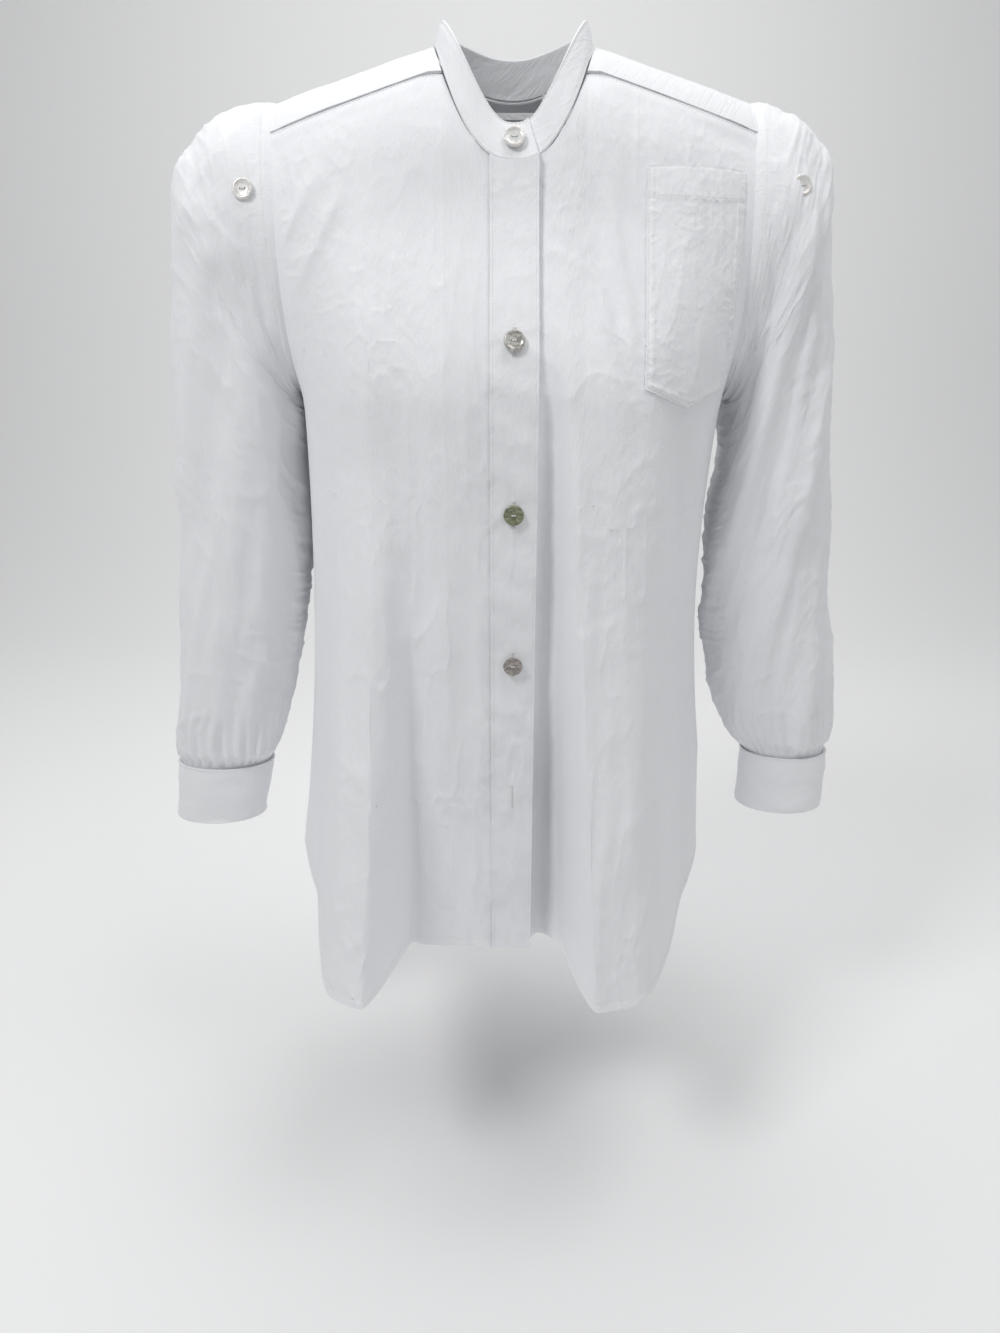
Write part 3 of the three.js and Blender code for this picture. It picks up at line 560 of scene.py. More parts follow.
class Shader:
    """A material's node tree, built by expressions."""

    def __init__(self, name: str) -> None:
        """Starts an empty material with its output."""
        self.material = bpy.data.materials.new(name)
        self.material.use_nodes = True
        self.tree = self.material.node_tree
        self.tree.nodes.clear()

    def node(self, kind: str, settings: dict[str, Any], inputs: Any = (), output: Any = 0) -> Value:
        """Adds a node.

        Args:
            kind: the node's type.
            settings: its properties; "stops" gives a colour ramp its (place, colour) pairs.
            inputs: values or links for its sockets, as a list by order or a dict by name or number.
            output: the name or number of the socket to hand on.

        Returns:
            The chosen output.
        """
        made = self.tree.nodes.new(kind)
        for key, value in settings.items():
            if key == "stops":
                ramp = made.color_ramp.elements
                while len(ramp) < len(value):
                    ramp.new(0.5)
                for element, (place, colour) in zip(ramp, value):
                    element.position, element.color = place, (*colour, 1.0)
            else:
                setattr(made, key, value)
        pairs = inputs.items() if isinstance(inputs, dict) else enumerate(inputs)
        for key, value in pairs:
            if isinstance(value, Value):
                self.tree.links.new(value.socket, made.inputs[key])
            else:
                made.inputs[key].default_value = value
        return Value(self, made.outputs[output])

    def uv(self) -> Value:
        """The piece's flat coordinates, in metres."""
        return self.node("ShaderNodeUVMap", {"uv_map": "flat"})

    def place(self) -> Value:
        """Object coordinates, in metres."""
        return self.node("ShaderNodeTexCoord", {}, (), "Object")

    def split(self, vector: Value) -> tuple[Value, Value, Value]:
        """A vector's three parts."""
        first = self.node("ShaderNodeSeparateXYZ", {}, [vector])
        outputs = first.socket.node.outputs
        return first, Value(self, outputs[1]), Value(self, outputs[2])

    def noise(self, vector: Value, scale: float, detail: float = 3.0, rough: float = 0.5) -> Value:
        """Fractal noise between 0 and 1."""
        inputs = {"Vector": vector, "Scale": scale, "Detail": detail, "Roughness": rough}
        return self.node("ShaderNodeTexNoise", {}, inputs, "Fac")

    def stretch(self, vector: Value, scale: tuple[float, float, float]) -> Value:
        """The vector with each part multiplied."""
        return self.node("ShaderNodeVectorMath", {"operation": "MULTIPLY"}, [vector, scale])

    def blend(self, share: Any, first: Sequence[float], second: Sequence[float]) -> Value:
        """A colour between two colours."""
        inputs = {0: share, 6: (*first, 1.0), 7: (*second, 1.0)}
        return self.node("ShaderNodeMix", {"data_type": "RGBA"}, inputs, 2)

    def bump(self, height: Value, distance: float, strength: float = 1.0) -> Value:
        """A normal from a height between 0 and 1 over a distance in metres."""
        inputs = {"Strength": strength, "Distance": distance, "Height": height}
        return self.node("ShaderNodeBump", {}, inputs)

    def finish(self, **sockets: Any) -> bpy.types.Material:
        """Adds the Principled shader with these sockets, underscores for spaces, and the output."""
        inputs = {key.replace("_", " "): value for key, value in sockets.items()}
        surface = self.node("ShaderNodeBsdfPrincipled", {}, inputs)
        output = self.tree.nodes.new("ShaderNodeOutputMaterial")
        self.tree.links.new(surface.socket, output.inputs["Surface"])
        return self.material


@dataclass(frozen=True)
class Cotton:
    """Plain-woven cotton: fine yarns both ways, slubs, faint creases and a chalky sheen."""

    name: str
    bright: tuple[float, float, float]
    dull: tuple[float, float, float]
    yarn: float = 0.00042
    weave_depth: float = 0.00006
    crease_depth: float = 0.0007

    def make(self) -> bpy.types.Material:
        """Builds the material on the piece's flat coordinates."""
        s = Shader(self.name)
        flat = s.uv()
        across, down, _ = s.split(flat)
        turn = 2 * math.pi / self.yarn
        over = (across * turn).wave() * (down * turn).wave()
        slub_a = s.noise(s.stretch(flat, (1.0, 0.06, 1.0)), 1500.0, 2.0)
        slub_b = s.noise(s.stretch(flat, (0.06, 1.0, 1.0)), 1500.0, 2.0)
        weave = over * 0.5 + slub_a * 0.9 + slub_b * 0.9
        crumple = s.noise(s.stretch(flat, (1.0, 0.55, 1.0)), 150.0, 5.0, 0.62)
        crease = 1.0 - (s.noise(s.stretch(flat, (1.0, 0.5, 1.0)), 75.0, 4.0, 0.6) - 0.5).size() * 2.0
        fine = s.bump(weave, self.weave_depth, 0.6)
        height = crumple * 0.55 + (crease**6.0) * 0.35
        inputs = {"Strength": 0.75, "Distance": self.crease_depth, "Height": height, "Normal": fine}
        normal = s.node("ShaderNodeBump", {}, inputs)
        tone = s.noise(flat, 14.0, 4.0, 0.6) * 0.7 + (slub_a + slub_b) * 0.2
        return s.finish(
            Base_Color=s.blend(tone, self.dull, self.bright),
            Roughness=0.62 + crumple * 0.2,
            Normal=normal,
            Sheen_Weight=0.18,
            Sheen_Roughness=0.45,
            Sheen_Tint=(0.95, 0.97, 1.0, 1.0),
            Subsurface_Weight=0.12,
            Subsurface_Radius=(1.0, 0.95, 0.9),
            Subsurface_Scale=0.0015,
            Specular_IOR_Level=0.35,
        )


@dataclass(frozen=True)
class Shell:
    """Mother-of-pearl: drifting layers of colour under a polished face."""

    name: str
    dark: tuple[float, float, float]
    light: tuple[float, float, float]
    glow: tuple[float, float, float]

    def make(self) -> bpy.types.Material:
        """Builds the material on object coordinates."""
        s = Shader(self.name)
        place = s.place()
        drift = s.noise(s.stretch(place, (1.0, 1.0, 2.2)), 260.0, 4.0, 0.6)
        bands = s.noise(s.stretch(place, (1.0, 0.4, 3.4)), 900.0, 2.0)
        stops = [(0.3, self.dark), (0.5, self.light), (0.62, self.glow), (0.8, self.dark)]
        colour = s.node("ShaderNodeValToRGB", {"stops": stops}, [drift * 0.75 + bands * 0.25], 0)
        return s.finish(
            Base_Color=colour,
            Roughness=0.16 + bands * 0.16,
            Normal=s.bump(bands, 0.00008, 0.5),
            Coat_Weight=0.6,
            Coat_Roughness=0.08,
            Subsurface_Weight=0.15,
            Subsurface_Scale=0.001,
            Specular_IOR_Level=0.7,
        )


@dataclass(frozen=True)
class Twist:
    """Twisted sewing thread: fine slanting strands."""

    name: str
    colour: tuple[float, float, float]

    def make(self) -> bpy.types.Material:
        """Builds the material on object coordinates."""
        s = Shader(self.name)
        x, y, z = s.split(s.place())
        strand = ((x + y + z) * 9000.0).wave() * 0.5 + 0.5
        dim = tuple(0.82 * part for part in self.colour)
        return s.finish(
            Base_Color=s.blend(strand, dim, self.colour),
            Roughness=0.55 + strand * 0.2,
            Normal=s.bump(strand, 0.00008, 0.7),
            Sheen_Weight=0.3,
        )


class Finish(Enum):
    """Every finish on the gown."""

    POPLIN = Cotton("poplin", (0.91, 0.92, 0.94), (0.86, 0.868, 0.888))
    INTERLINING = Cotton("interlining", (0.85, 0.85, 0.85), (0.78, 0.78, 0.78), 0.0009)
    TAPE = Cotton("tape", (0.86, 0.86, 0.87), (0.76, 0.76, 0.78), 0.0008, 0.0002)
    LABEL = Cotton("label", (0.88, 0.88, 0.86), (0.84, 0.84, 0.82), 0.00025, 0.00002)
    THREAD = Twist("thread", (0.9, 0.9, 0.89))
    CLEAR_SHELL = Shell("clear_shell", (0.16, 0.15, 0.13), (0.42, 0.41, 0.38), (0.66, 0.65, 0.62))
    GREEN_SHELL = Shell("green_shell", (0.07, 0.085, 0.045), (0.19, 0.21, 0.12), (0.36, 0.38, 0.25))
    PINK_SHELL = Shell("pink_shell", (0.13, 0.11, 0.1), (0.3, 0.265, 0.24), (0.5, 0.45, 0.42))
    GREY_SHELL = Shell("grey_shell", (0.55, 0.54, 0.5), (0.72, 0.71, 0.68), (0.88, 0.87, 0.86))


class Wardrobe:
    """Makes each finish once and puts it on pieces."""

    def __init__(self) -> None:
        """Starts with nothing made."""
        self.made: dict[Finish, bpy.types.Material] = {}

    def dress(self, piece: bpy.types.Object, finish: Finish) -> bpy.types.Object:
        """Gives a piece its finish."""
        if finish not in self.made:
            self.made[finish] = finish.value.make()
        piece.data.materials.clear()
        piece.data.materials.append(self.made[finish])
        return piece


WARDROBE = Wardrobe()


# ---- Stitches and buttons ----


def line_down(sheet: Sheet, columns: Array, run: Array) -> tuple[Array, Array]:
    """A line across chosen columns of a sheet, each at its own distance down from the top edge."""
    numbers = np.arange(len(sheet.points))
    rows = np.array([np.interp(r, sheet.flat[:, c, 1], numbers) for c, r in zip(columns, run)])
    return sheet.place(rows, columns.astype(float))


def ring_walls(rings: int, sides: int) -> Array:
    """Quads between rings of vertices that are numbered one ring after another."""
    i, j = np.meshgrid(np.arange(rings - 1) * sides, np.arange(sides), indexing="ij")
    step = (j + 1) % sides
    return np.stack([i + j, i + step, i + sides + step, i + sides + j], axis=-1).reshape(-1, 4)


def closed_walls(rings: int, sides: int) -> Array:
    """Walls between rings, and a fan at each end to a pole; both poles follow the last ring.

    A fan's triangles are given as quads whose last corner repeats.
    """
    around = np.arange(sides)
    after, tail, pole = (around + 1) % sides, (rings - 1) * sides, 0 * around + rings * sides
    low = np.stack([after, around, pole, pole], axis=-1)
    high = np.stack([tail + around, tail + after, pole + 1, pole + 1], axis=-1)
    return np.concatenate([ring_walls(rings, sides), low, high])


@dataclass(frozen=True)
class Stitching:
    """A row of lockstitches: short plump threads with a little cloth between them."""

    pitch: float = 2.7
    length: float = 2.15
    radius: float = 0.19
    sides: int = 5
    across: bool = False

    def template(self) -> tuple[Array, Array]:
        """One stitch along +X: rings whose radius follows a half sine, closed at both ends."""
        turns = np.linspace(0, 2 * np.pi, self.sides, endpoint=False)
        along = np.array([-0.5, -0.36, 0.0, 0.36, 0.5]) * self.length
        radii = self.radius * np.array([0.25, 0.85, 1.0, 0.85, 0.25])
        lift = np.array([-0.16, 0.04, 0.12, 0.04, -0.16])
        ring = np.stack([0 * turns, np.cos(turns), np.sin(turns)], axis=-1)
        points = radii[:, None, None] * ring + np.stack([along, 0 * along, lift], axis=-1)[:, None]
        return points.reshape(-1, 3), ring_walls(len(along), self.sides)

    def run(self, points: Array, normals: Array) -> tuple[Array, Array]:
        """Vertices and faces of stitches set end to end along a line on the cloth.

        Args:
            points, normals: the line's places and the cloth's normals there, in millimetres.

        Returns:
            Vertices in millimetres and quads.
        """
        steps = np.linalg.norm(np.diff(points, axis=0), axis=1)
        run = np.concatenate([[0.0], np.cumsum(steps)])
        count = max(1, int(run[-1] / self.pitch))
        at = (np.arange(count) + 0.5) * run[-1] / count
        centre = np.stack([np.interp(at, run, points[:, k]) for k in range(3)], axis=-1)
        up = np.stack([np.interp(at, run, normals[:, k]) for k in range(3)], axis=-1)
        ahead = [np.interp(at + 0.5, run, points[:, k]) for k in range(3)]
        behind = [np.interp(at - 0.5, run, points[:, k]) for k in range(3)]
        along = np.stack(ahead, axis=-1) - np.stack(behind, axis=-1)
        along = unit(along)
        side = unit(np.cross(up, along))
        up = np.cross(along, side)
        shape, faces = self.template()
        basis = np.stack([side, -along, up] if self.across else [along, side, up], axis=1)
        vertices = centre[:, None] + np.einsum("pk,nkc->npc", shape, basis)
        moved = faces[None] + (np.arange(count) * len(shape))[:, None, None]
        return vertices.reshape(-1, 3), moved.reshape(-1, 4)

    def sew(self, name: str, lines: Sequence[tuple[Array, Array]]) -> bpy.types.Object:
        """One piece made of stitches along several lines."""
        vertices: list[Array] = []
        faces: list[Array] = []
        start = 0
        for points, normals in lines:
            made, quads = self.run(points, normals)
            vertices.append(made)
            faces.append(quads + start)
            start += len(made)
        piece = new_mesh(name, np.concatenate(vertices) * MM, np.concatenate(faces))
        return WARDROBE.dress(piece, Finish.THREAD)


def line_on(sheet: Sheet, start: tuple[float, float], end: tuple[float, float]) -> tuple[Array, Array]:
    """A line on a sheet between two places given as shares of its columns and rows.

    Args:
        sheet: the cloth.
        start, end: (share across, share down).

    Returns:
        Places and normals along the line.
    """
    rows, columns = sheet.points.shape[:2]
    share = np.linspace(0, 1, 4 * max(rows, columns) // 2)
    across, down = mix(start[0], end[0], share), mix(start[1], end[1], share)
    return sheet.place(down * (rows - 1), across * (columns - 1))


def spin(profile: Sequence[tuple[float, float]], segments: int) -> tuple[Array, Array]:
    """A surface of revolution about Z from (radius, height) pairs that start and end on the axis.

    Returns:
        Vertices, and triangles and quads as quads whose pole corners repeat.
    """
    body = np.array(profile[1:-1])
    turns = np.linspace(0, 2 * np.pi, segments, endpoint=False)
    radius, height = body[:, :1], body[:, 1:]
    rings = np.stack([radius * np.cos(turns), radius * np.sin(turns), height + 0 * turns], axis=-1)
    poles = np.array([[0, 0, profile[0][1]], [0, 0, profile[-1][1]]])
    return np.concatenate([rings.reshape(-1, 3), poles]), closed_walls(len(body), segments)


@dataclass(frozen=True)
class Button:
    """A two-hole button with a rim round a dished face, and the thread that holds it."""

    diameter: float = 15.8
    thickness: float = 2.6
    hole_spacing: float = 3.2
    hole_radius: float = 0.85
    segments: int = 56

    def disc(self) -> bpy.types.Mesh:
        """The button's mesh, on its back in the XY plane, with its two holes cut through."""
        r, top = self.diameter / 2, self.thickness
        profile = [
            (0.0, 0.0), (r - 1.9, 0.0), (r - 1.2, 0.12), (r - 0.5, 0.5), (r - 0.1, 1.05), (r, 1.5),
            (r - 0.12, 2.0), (r - 0.45, 2.36), (r - 0.9, top - 0.04), (r - 1.4, top),
            (r - 1.9, top - 0.08), (r - 2.5, top - 0.38), (r - 3.1, top - 0.62), (r - 3.8, top - 0.7),
            (r - 5.4, top - 0.74), (0.0, top - 0.74),
        ]
        vertices, faces = spin(profile, self.segments)
        base = self.raw("button_blank", vertices, faces)
        cutters = []
        for x in (-self.hole_spacing / 2, self.hole_spacing / 2):
            bore, walls = spin([(0, -1), (self.hole_radius, -1), (self.hole_radius, 4), (0, 4)], 16)
            cutter = self.raw("button_bore", bore + np.array([x, 0, 0]), walls)
            modifier = base.modifiers.new("bore", "BOOLEAN")
            modifier.operation, modifier.object, modifier.solver = "DIFFERENCE", cutter, "EXACT"
            cutters.append(cutter)
        graph = bpy.context.evaluated_depsgraph_get()
        mesh = bpy.data.meshes.new_from_object(base.evaluated_get(graph))
        for scratch in [base, *cutters]:
            bpy.data.objects.remove(scratch)
        return mesh

    @staticmethod
    def raw(name: str, vertices: Array, faces: Array) -> bpy.types.Object:
        """A scratch object; corners that repeat in a face are dropped."""
        clean = [list(dict.fromkeys(face)) for face in faces.tolist()]
        mesh = bpy.data.meshes.new(name)
        mesh.from_pydata(vertices.tolist(), [], clean)
        return linked(name, mesh)


class Solid:
    """Vertices and quads of one or more closed shapes, in millimetres."""

    def __init__(self) -> None:
        """Starts empty."""
        self.vertices: list[Array] = []
        self.faces: list[list[int]] = []
        self.count = 0

    def add(self, vertices: Array, faces: Array) -> "Solid":
        """Adds a shape; corners that repeat in a face are dropped."""
        self.vertices.append(vertices)
        self.faces += [[v + self.count for v in dict.fromkeys(f)] for f in faces.tolist()]
        self.count += len(vertices)
        return self

    def tube(self, path: Array, radius: float, sides: int = 8) -> "Solid":
        """Adds a round tube along a path, closed at both ends.

        Each ring stands square to the path, on axes worked out at each ring from one fixed guide direction.
        """
        ahead = unit(np.gradient(path, axis=0))
        guess = np.array([1.0, 0, 0]) if abs(ahead[0, 0]) < 0.8 else np.array([0, 1.0, 0])
        first = unit(np.cross(ahead, guess))
        second = np.cross(ahead, first)
        turns = np.linspace(0, 2 * np.pi, sides, endpoint=False)
        ring = np.cos(turns)[None, :, None] * first[:, None] + np.sin(turns)[None, :, None] * second[:, None]
        body = (path[:, None] + radius * ring).reshape(-1, 3)
        return self.add(np.concatenate([body, path[[0, -1]]]), closed_walls(len(path), sides))

    def piece(self, name: str, place: Matrix | None = None) -> bpy.types.Object:
        """Makes the mesh object, moved by a matrix whose lengths are in millimetres."""
        vertices = np.concatenate(self.vertices)
        if place is not None:
            move = np.array(place)
            vertices = vertices @ move[:3, :3].T + move[:3, 3]
        mesh = bpy.data.meshes.new(name)
        mesh.from_pydata((vertices * MM).tolist(), [], self.faces)
        smooth_shaded(mesh, 48)
        return linked(name, mesh)


# ---- How the cloth is creased ----


@dataclass(frozen=True)
class Ridge:
    """A raised or sunken line on the body, between two (x, z) places, that fades at both ends."""

    start: tuple[float, float]
    end: tuple[float, float]
    height: float
    width: float

    def at(self, x: Array, z: Array) -> Array:
        """Height at each place: a bell across the line and an ease in and out along it."""
        run_x, run_z = self.end[0] - self.start[0], self.end[1] - self.start[1]
        length = math.hypot(run_x, run_z)
        off_x, off_z = x - self.start[0], z - self.start[1]
        along = (off_x * run_x + off_z * run_z) / length**2
        off = (off_x * run_z - off_z * run_x) / length
        return self.height * bell(off, self.width) * ease(along / 0.3) * ease((1 - along) / 0.3)


FRONT_RIDGES = (
    Ridge((-113, -108), (-116, -520), 5.0, 15.0),
    Ridge((-150, -120), (-160, -560), -4.5, 14.0),
    Ridge((-84, -150), (-78, -440), -2.2, 14.0),
    Ridge((34, -86), (77, -232), 2.4, 5.5),
    Ridge((68, -100), (91, -225), 2.2, 5.0),
    Ridge((52, -92), (84, -228), -1.6, 5.0),
    Ridge((150, -255), (172, -420), 2.5, 9.0),
    Ridge((108, -262), (136, -470), 2.6, 9.0),
    Ridge((-48, -120), (-30, -330), 1.6, 8.0),
    Ridge((-60, -330), (-44, -640), 2.2, 10.0),
    Ridge((24, -300), (31, -700), -3.0, 5.0),
    Ridge((-120, -98), (-176, -190), 1.7, 6.0),
    Ridge((-140, -84), (-180, -150), 1.4, 5.0),
    Ridge((120, -520), (150, -690), 3.0, 10.0),
    Ridge((-176, -300), (-190, -600), 2.4, 8.0),
)


class Creases:
    """Displacement of the cloth from its smooth hang, in millimetres along its outward side."""

    def __init__(self, seed: int) -> None:
        """Draws the noise."""
        self.noise = Noise(seed)

    def front(self, x: Array, z: Array, half_width: Array) -> Array:
        """Relief of the front at signed x and z.

        Both fronts share it, so the laps stay clear of each other. It fades to nothing at the seams
        and round each button's seat.
        """
        down = np.clip((-90 - z) / 650, 0, 1)
        drape = self.noise.fractal(x / 38 + 5.0, z / 340, 3) * mix(1.1, 3.8, ease(down))
        rumple = self.noise.rumple(x, z) * mix(1.05, 2.0, ease(1.3 * down))
        lines = sum(ridge.at(x, z) for ridge in FRONT_RIDGES)
        seam = half_width - np.abs(x)
        pucker = 0.55 * self.noise.ridges(z / 7.0, seam / 16.0, 3.0) * bell(seam - 6, 9)
        below_yoke = SHAPE.shoulder_z(x) - SHAPE.yoke_front_drop - z
        fade = ease(seam / 12) * ease(below_yoke / 16)
        near_lap = 1 - ease((np.abs(x) - 16) / 12)
        relief = (drape * (1 - 0.6 * near_lap) + rumple + lines + pucker) * fade
        pitch = SHAPE.button_zs[0] - SHAPE.button_zs[1]
        swell = np.sin(np.pi * (SHAPE.button_zs[0] - z) / pitch) ** 2
        relief = relief + near_lap * (1.5 * swell + 0.5 * np.sin(z / 5.1 + x / 9)) * fade * ease(-z / 150 - 1)
        for z_button in SHAPE.button_zs:
            away = np.hypot(x, z - z_button)
            turn = np.arctan2(z - z_button, x)
            pleats = 0.3 * np.cos(6 * turn + 1.1 + z_button / 40) * bell(away - 14, 6)
            relief = (relief + pleats) * (1 - bell(away, 9))
        return relief

    def back(self, x: Array, z: Array, half_width: Array) -> Array:
        """Relief of the back, which fades at the yoke and the side seams."""
        down = np.clip((-95 - z) / 680, 0, 1)
        drape = self.noise.fractal(x / 40 + 55.0, z / 330, 3) * mix(1.0, 4.2, ease(down))
        rumple = self.noise.rumple(x + 700, z) * mix(1.2, 2.1, ease(down))
        seam = half_width - np.abs(x)
        pucker = 0.5 * self.noise.ridges(z / 7.0, seam / 16.0, 3.0) * bell(seam - 6, 9)
        return (drape + rumple + pucker) * ease(seam / 12) * ease((-97 - z) / 20)

    def sleeve(self, half: Half, angle: Array, run: Array, s: Array) -> Array:
        """Relief of a sleeve: long slanting folds, ripples under the arm and pleats into the cuff.

        Args:
            half: the side of the gown.
            angle: angle round the sleeve, 0 at its outer edge and a quarter turn at the front.
            run: distance down the sleeve, in millimetres.
            s: share of the sleeve's length.
        """
        seed = 40.0 if half.sign > 0 else 0.0
        a, b = np.cos(angle), np.sin(angle)
        lean = 0.55 if half.sign > 0 else -0.3
        slant = 46 * a + lean * run / 3
        folds = self.noise.fractal(slant / 21 + seed, b * 1.3 + run / 210 + seed, 2) * 4.6
        broad = 3.4 * np.sin(slant / 12.5 + 1.7 * self.noise.smooth(run / 90 + seed, a + 9.0))
        broad = broad * bell(s - 0.42, 0.34) * ease(0.5 + b)
        rumple = self.noise.rumple(52 * a + 300 + seed, run + 40 * b) * 2.1
        under = 1.9 * self.noise.ridges(run / 8.5 + seed, angle, 3.0) * bell(1 + a, 0.16)
        under = under * ease((s - 0.2) / 0.1) * ease((0.9 - s) / 0.2)
        pleats = 1.5 * np.cos(30 * angle + 3 * self.noise.smooth(run / 30, angle)) * ease((s - 0.86) / 0.1)
        fade = ease(run / 16) * ease((1.0 - s) / 0.035)
        return (folds * ease(run / 70) + broad + rumple + under) * fade + pleats * ease((1.01 - s) / 0.03)

    def band(self, a: Array, b: Array) -> Array:
        """Slight unevenness of a stiffened band."""
        return 0.35 * self.noise.fractal(a / 30, b / 18 + 77, 3)


CREASES = Creases(20261119)


# ---- Helpers for finished pieces ----

Bind = Callable[[bpy.types.Object], bpy.types.Object]


def riding(body: str) -> Bind:
    """A way of fixing pieces to one body."""
    return lambda piece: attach(piece, body)


def bending() -> Bind:
    """A way of fixing sleeve pieces: their transform is baked into the mesh, and no body holds them."""
    return lambda piece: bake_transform(piece)


def put_on(piece: bpy.types.Object, bind: Bind, *nodes: str) -> bpy.types.Object:
    """Fixes a piece to its body and lets it stand for its nodes."""
    bind(piece)
    if nodes:
        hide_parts(*nodes)
    LOG.info("%s: %d faces for %s", piece.name, len(piece.data.polygons), ", ".join(nodes) or "detail")
    return piece


def cloth(sheet: Sheet, name: str, finish: Finish, bind: Bind, held: str, *nodes: str) -> bpy.types.Object:
    """Makes a cloth piece, with its finish, its body, its nodes and its flat cut.

    Args:
        sheet: the cloth.
        name: the piece's name.
        finish: the cloth's finish.
        bind: what it is fixed to.
        held: how the cloth is held; not used.
        nodes: the nodes that it stands for.

    Returns:
        The piece.
    """
    piece = put_on(WARDROBE.dress(sheet.mesh(name), finish), bind, *nodes)
    p = sheet.points
    diagonals = np.cross(p[1:, 1:] - p[:-1, :-1], p[1:, :-1] - p[:-1, 1:])
    return piece


def edge_rows(count: int, *edges: float) -> Array:
    """Evenly spaced shares from 0 to 1 with extra ones at and close to given shares."""
    extra = [edge + step for edge in edges for step in (-0.004, 0.0, 0.004)]
    return np.unique(np.clip(np.concatenate([np.linspace(0, 1, count), extra]), 0, 1))


def turned(points: Array, stack: float, inside: tuple[float, float, float], relief: Array) -> Sheet:
    """A band whose edges are turned in: full thickness inside, rounded off along all four edges.

    The grid's first and last two rows and columns are expected to lie close together.
    """
    flat = Sheet(points, stack, inside)
    a, b = flat.flat[..., 0], flat.flat[..., 1]
    edge = np.minimum(np.minimum(a, flat.width - a), np.minimum(b, flat.length[0] - b))
    radius = stack / 2
    share = np.clip(edge / radius, 0, 1)
    thickness = stack * np.sqrt(np.maximum(0.04, 1 - (1 - share) ** 2))
    stitch = 0.35 * bell(edge - 2.6, 1.1)
    shaped = flat.raised(relief * ease(edge / 5) - (stack - thickness) / 2 - stitch)
    shaped.thickness = thickness - stitch
    return shaped


BAND_EDGE = np.array([0, 0.15, 0.5, 1.0, 1.6, 2.6])  # places of the lines that round off a turned edge
SLIT = (9.4, 1.0)  # half of a level buttonhole's cut cells, along the band and up it


def level_slit(u: Array, h: Array, hole: float, round_length: float, height: float) -> Array:
    """Cells of a band's grid that its level buttonhole cuts away.

    Args:
        u, h: the grid's shares round the band and its distances across it.
        hole: share at the buttonhole's middle.
        round_length: the band's length.
        height: the band's height.
    """
    middle_u, middle_h = (u[1:, 1:] + u[:-1, :-1]) / 2, (h[1:, 1:] + h[:-1, :-1]) / 2
    return (np.abs(middle_u - hole) * round_length < SLIT[0]) & (np.abs(middle_h - height / 2) < SLIT[1])


# ---- The front ----

LAP_SHARE = 0.2
UPPER_SHARE = 0.4
BODY_MIDDLE = (0.0, 0.0, -300.0)
TOP_STITCH = Stitching()
SATIN = Stitching(pitch=0.62, length=1.9, radius=0.3, across=True)
HOLE_HALF = 9.2  # half of a buttonhole's length
HEM_DEPTH, HEM_LINE = 9.0, 7.6  # the turned-up hem and its stitch line, from the edge
BESIDE_HEM_LINE = np.array([HEM_LINE + 1, HEM_LINE + 0.2, HEM_LINE - 0.6, 1.0])  # extra rows, from the edge


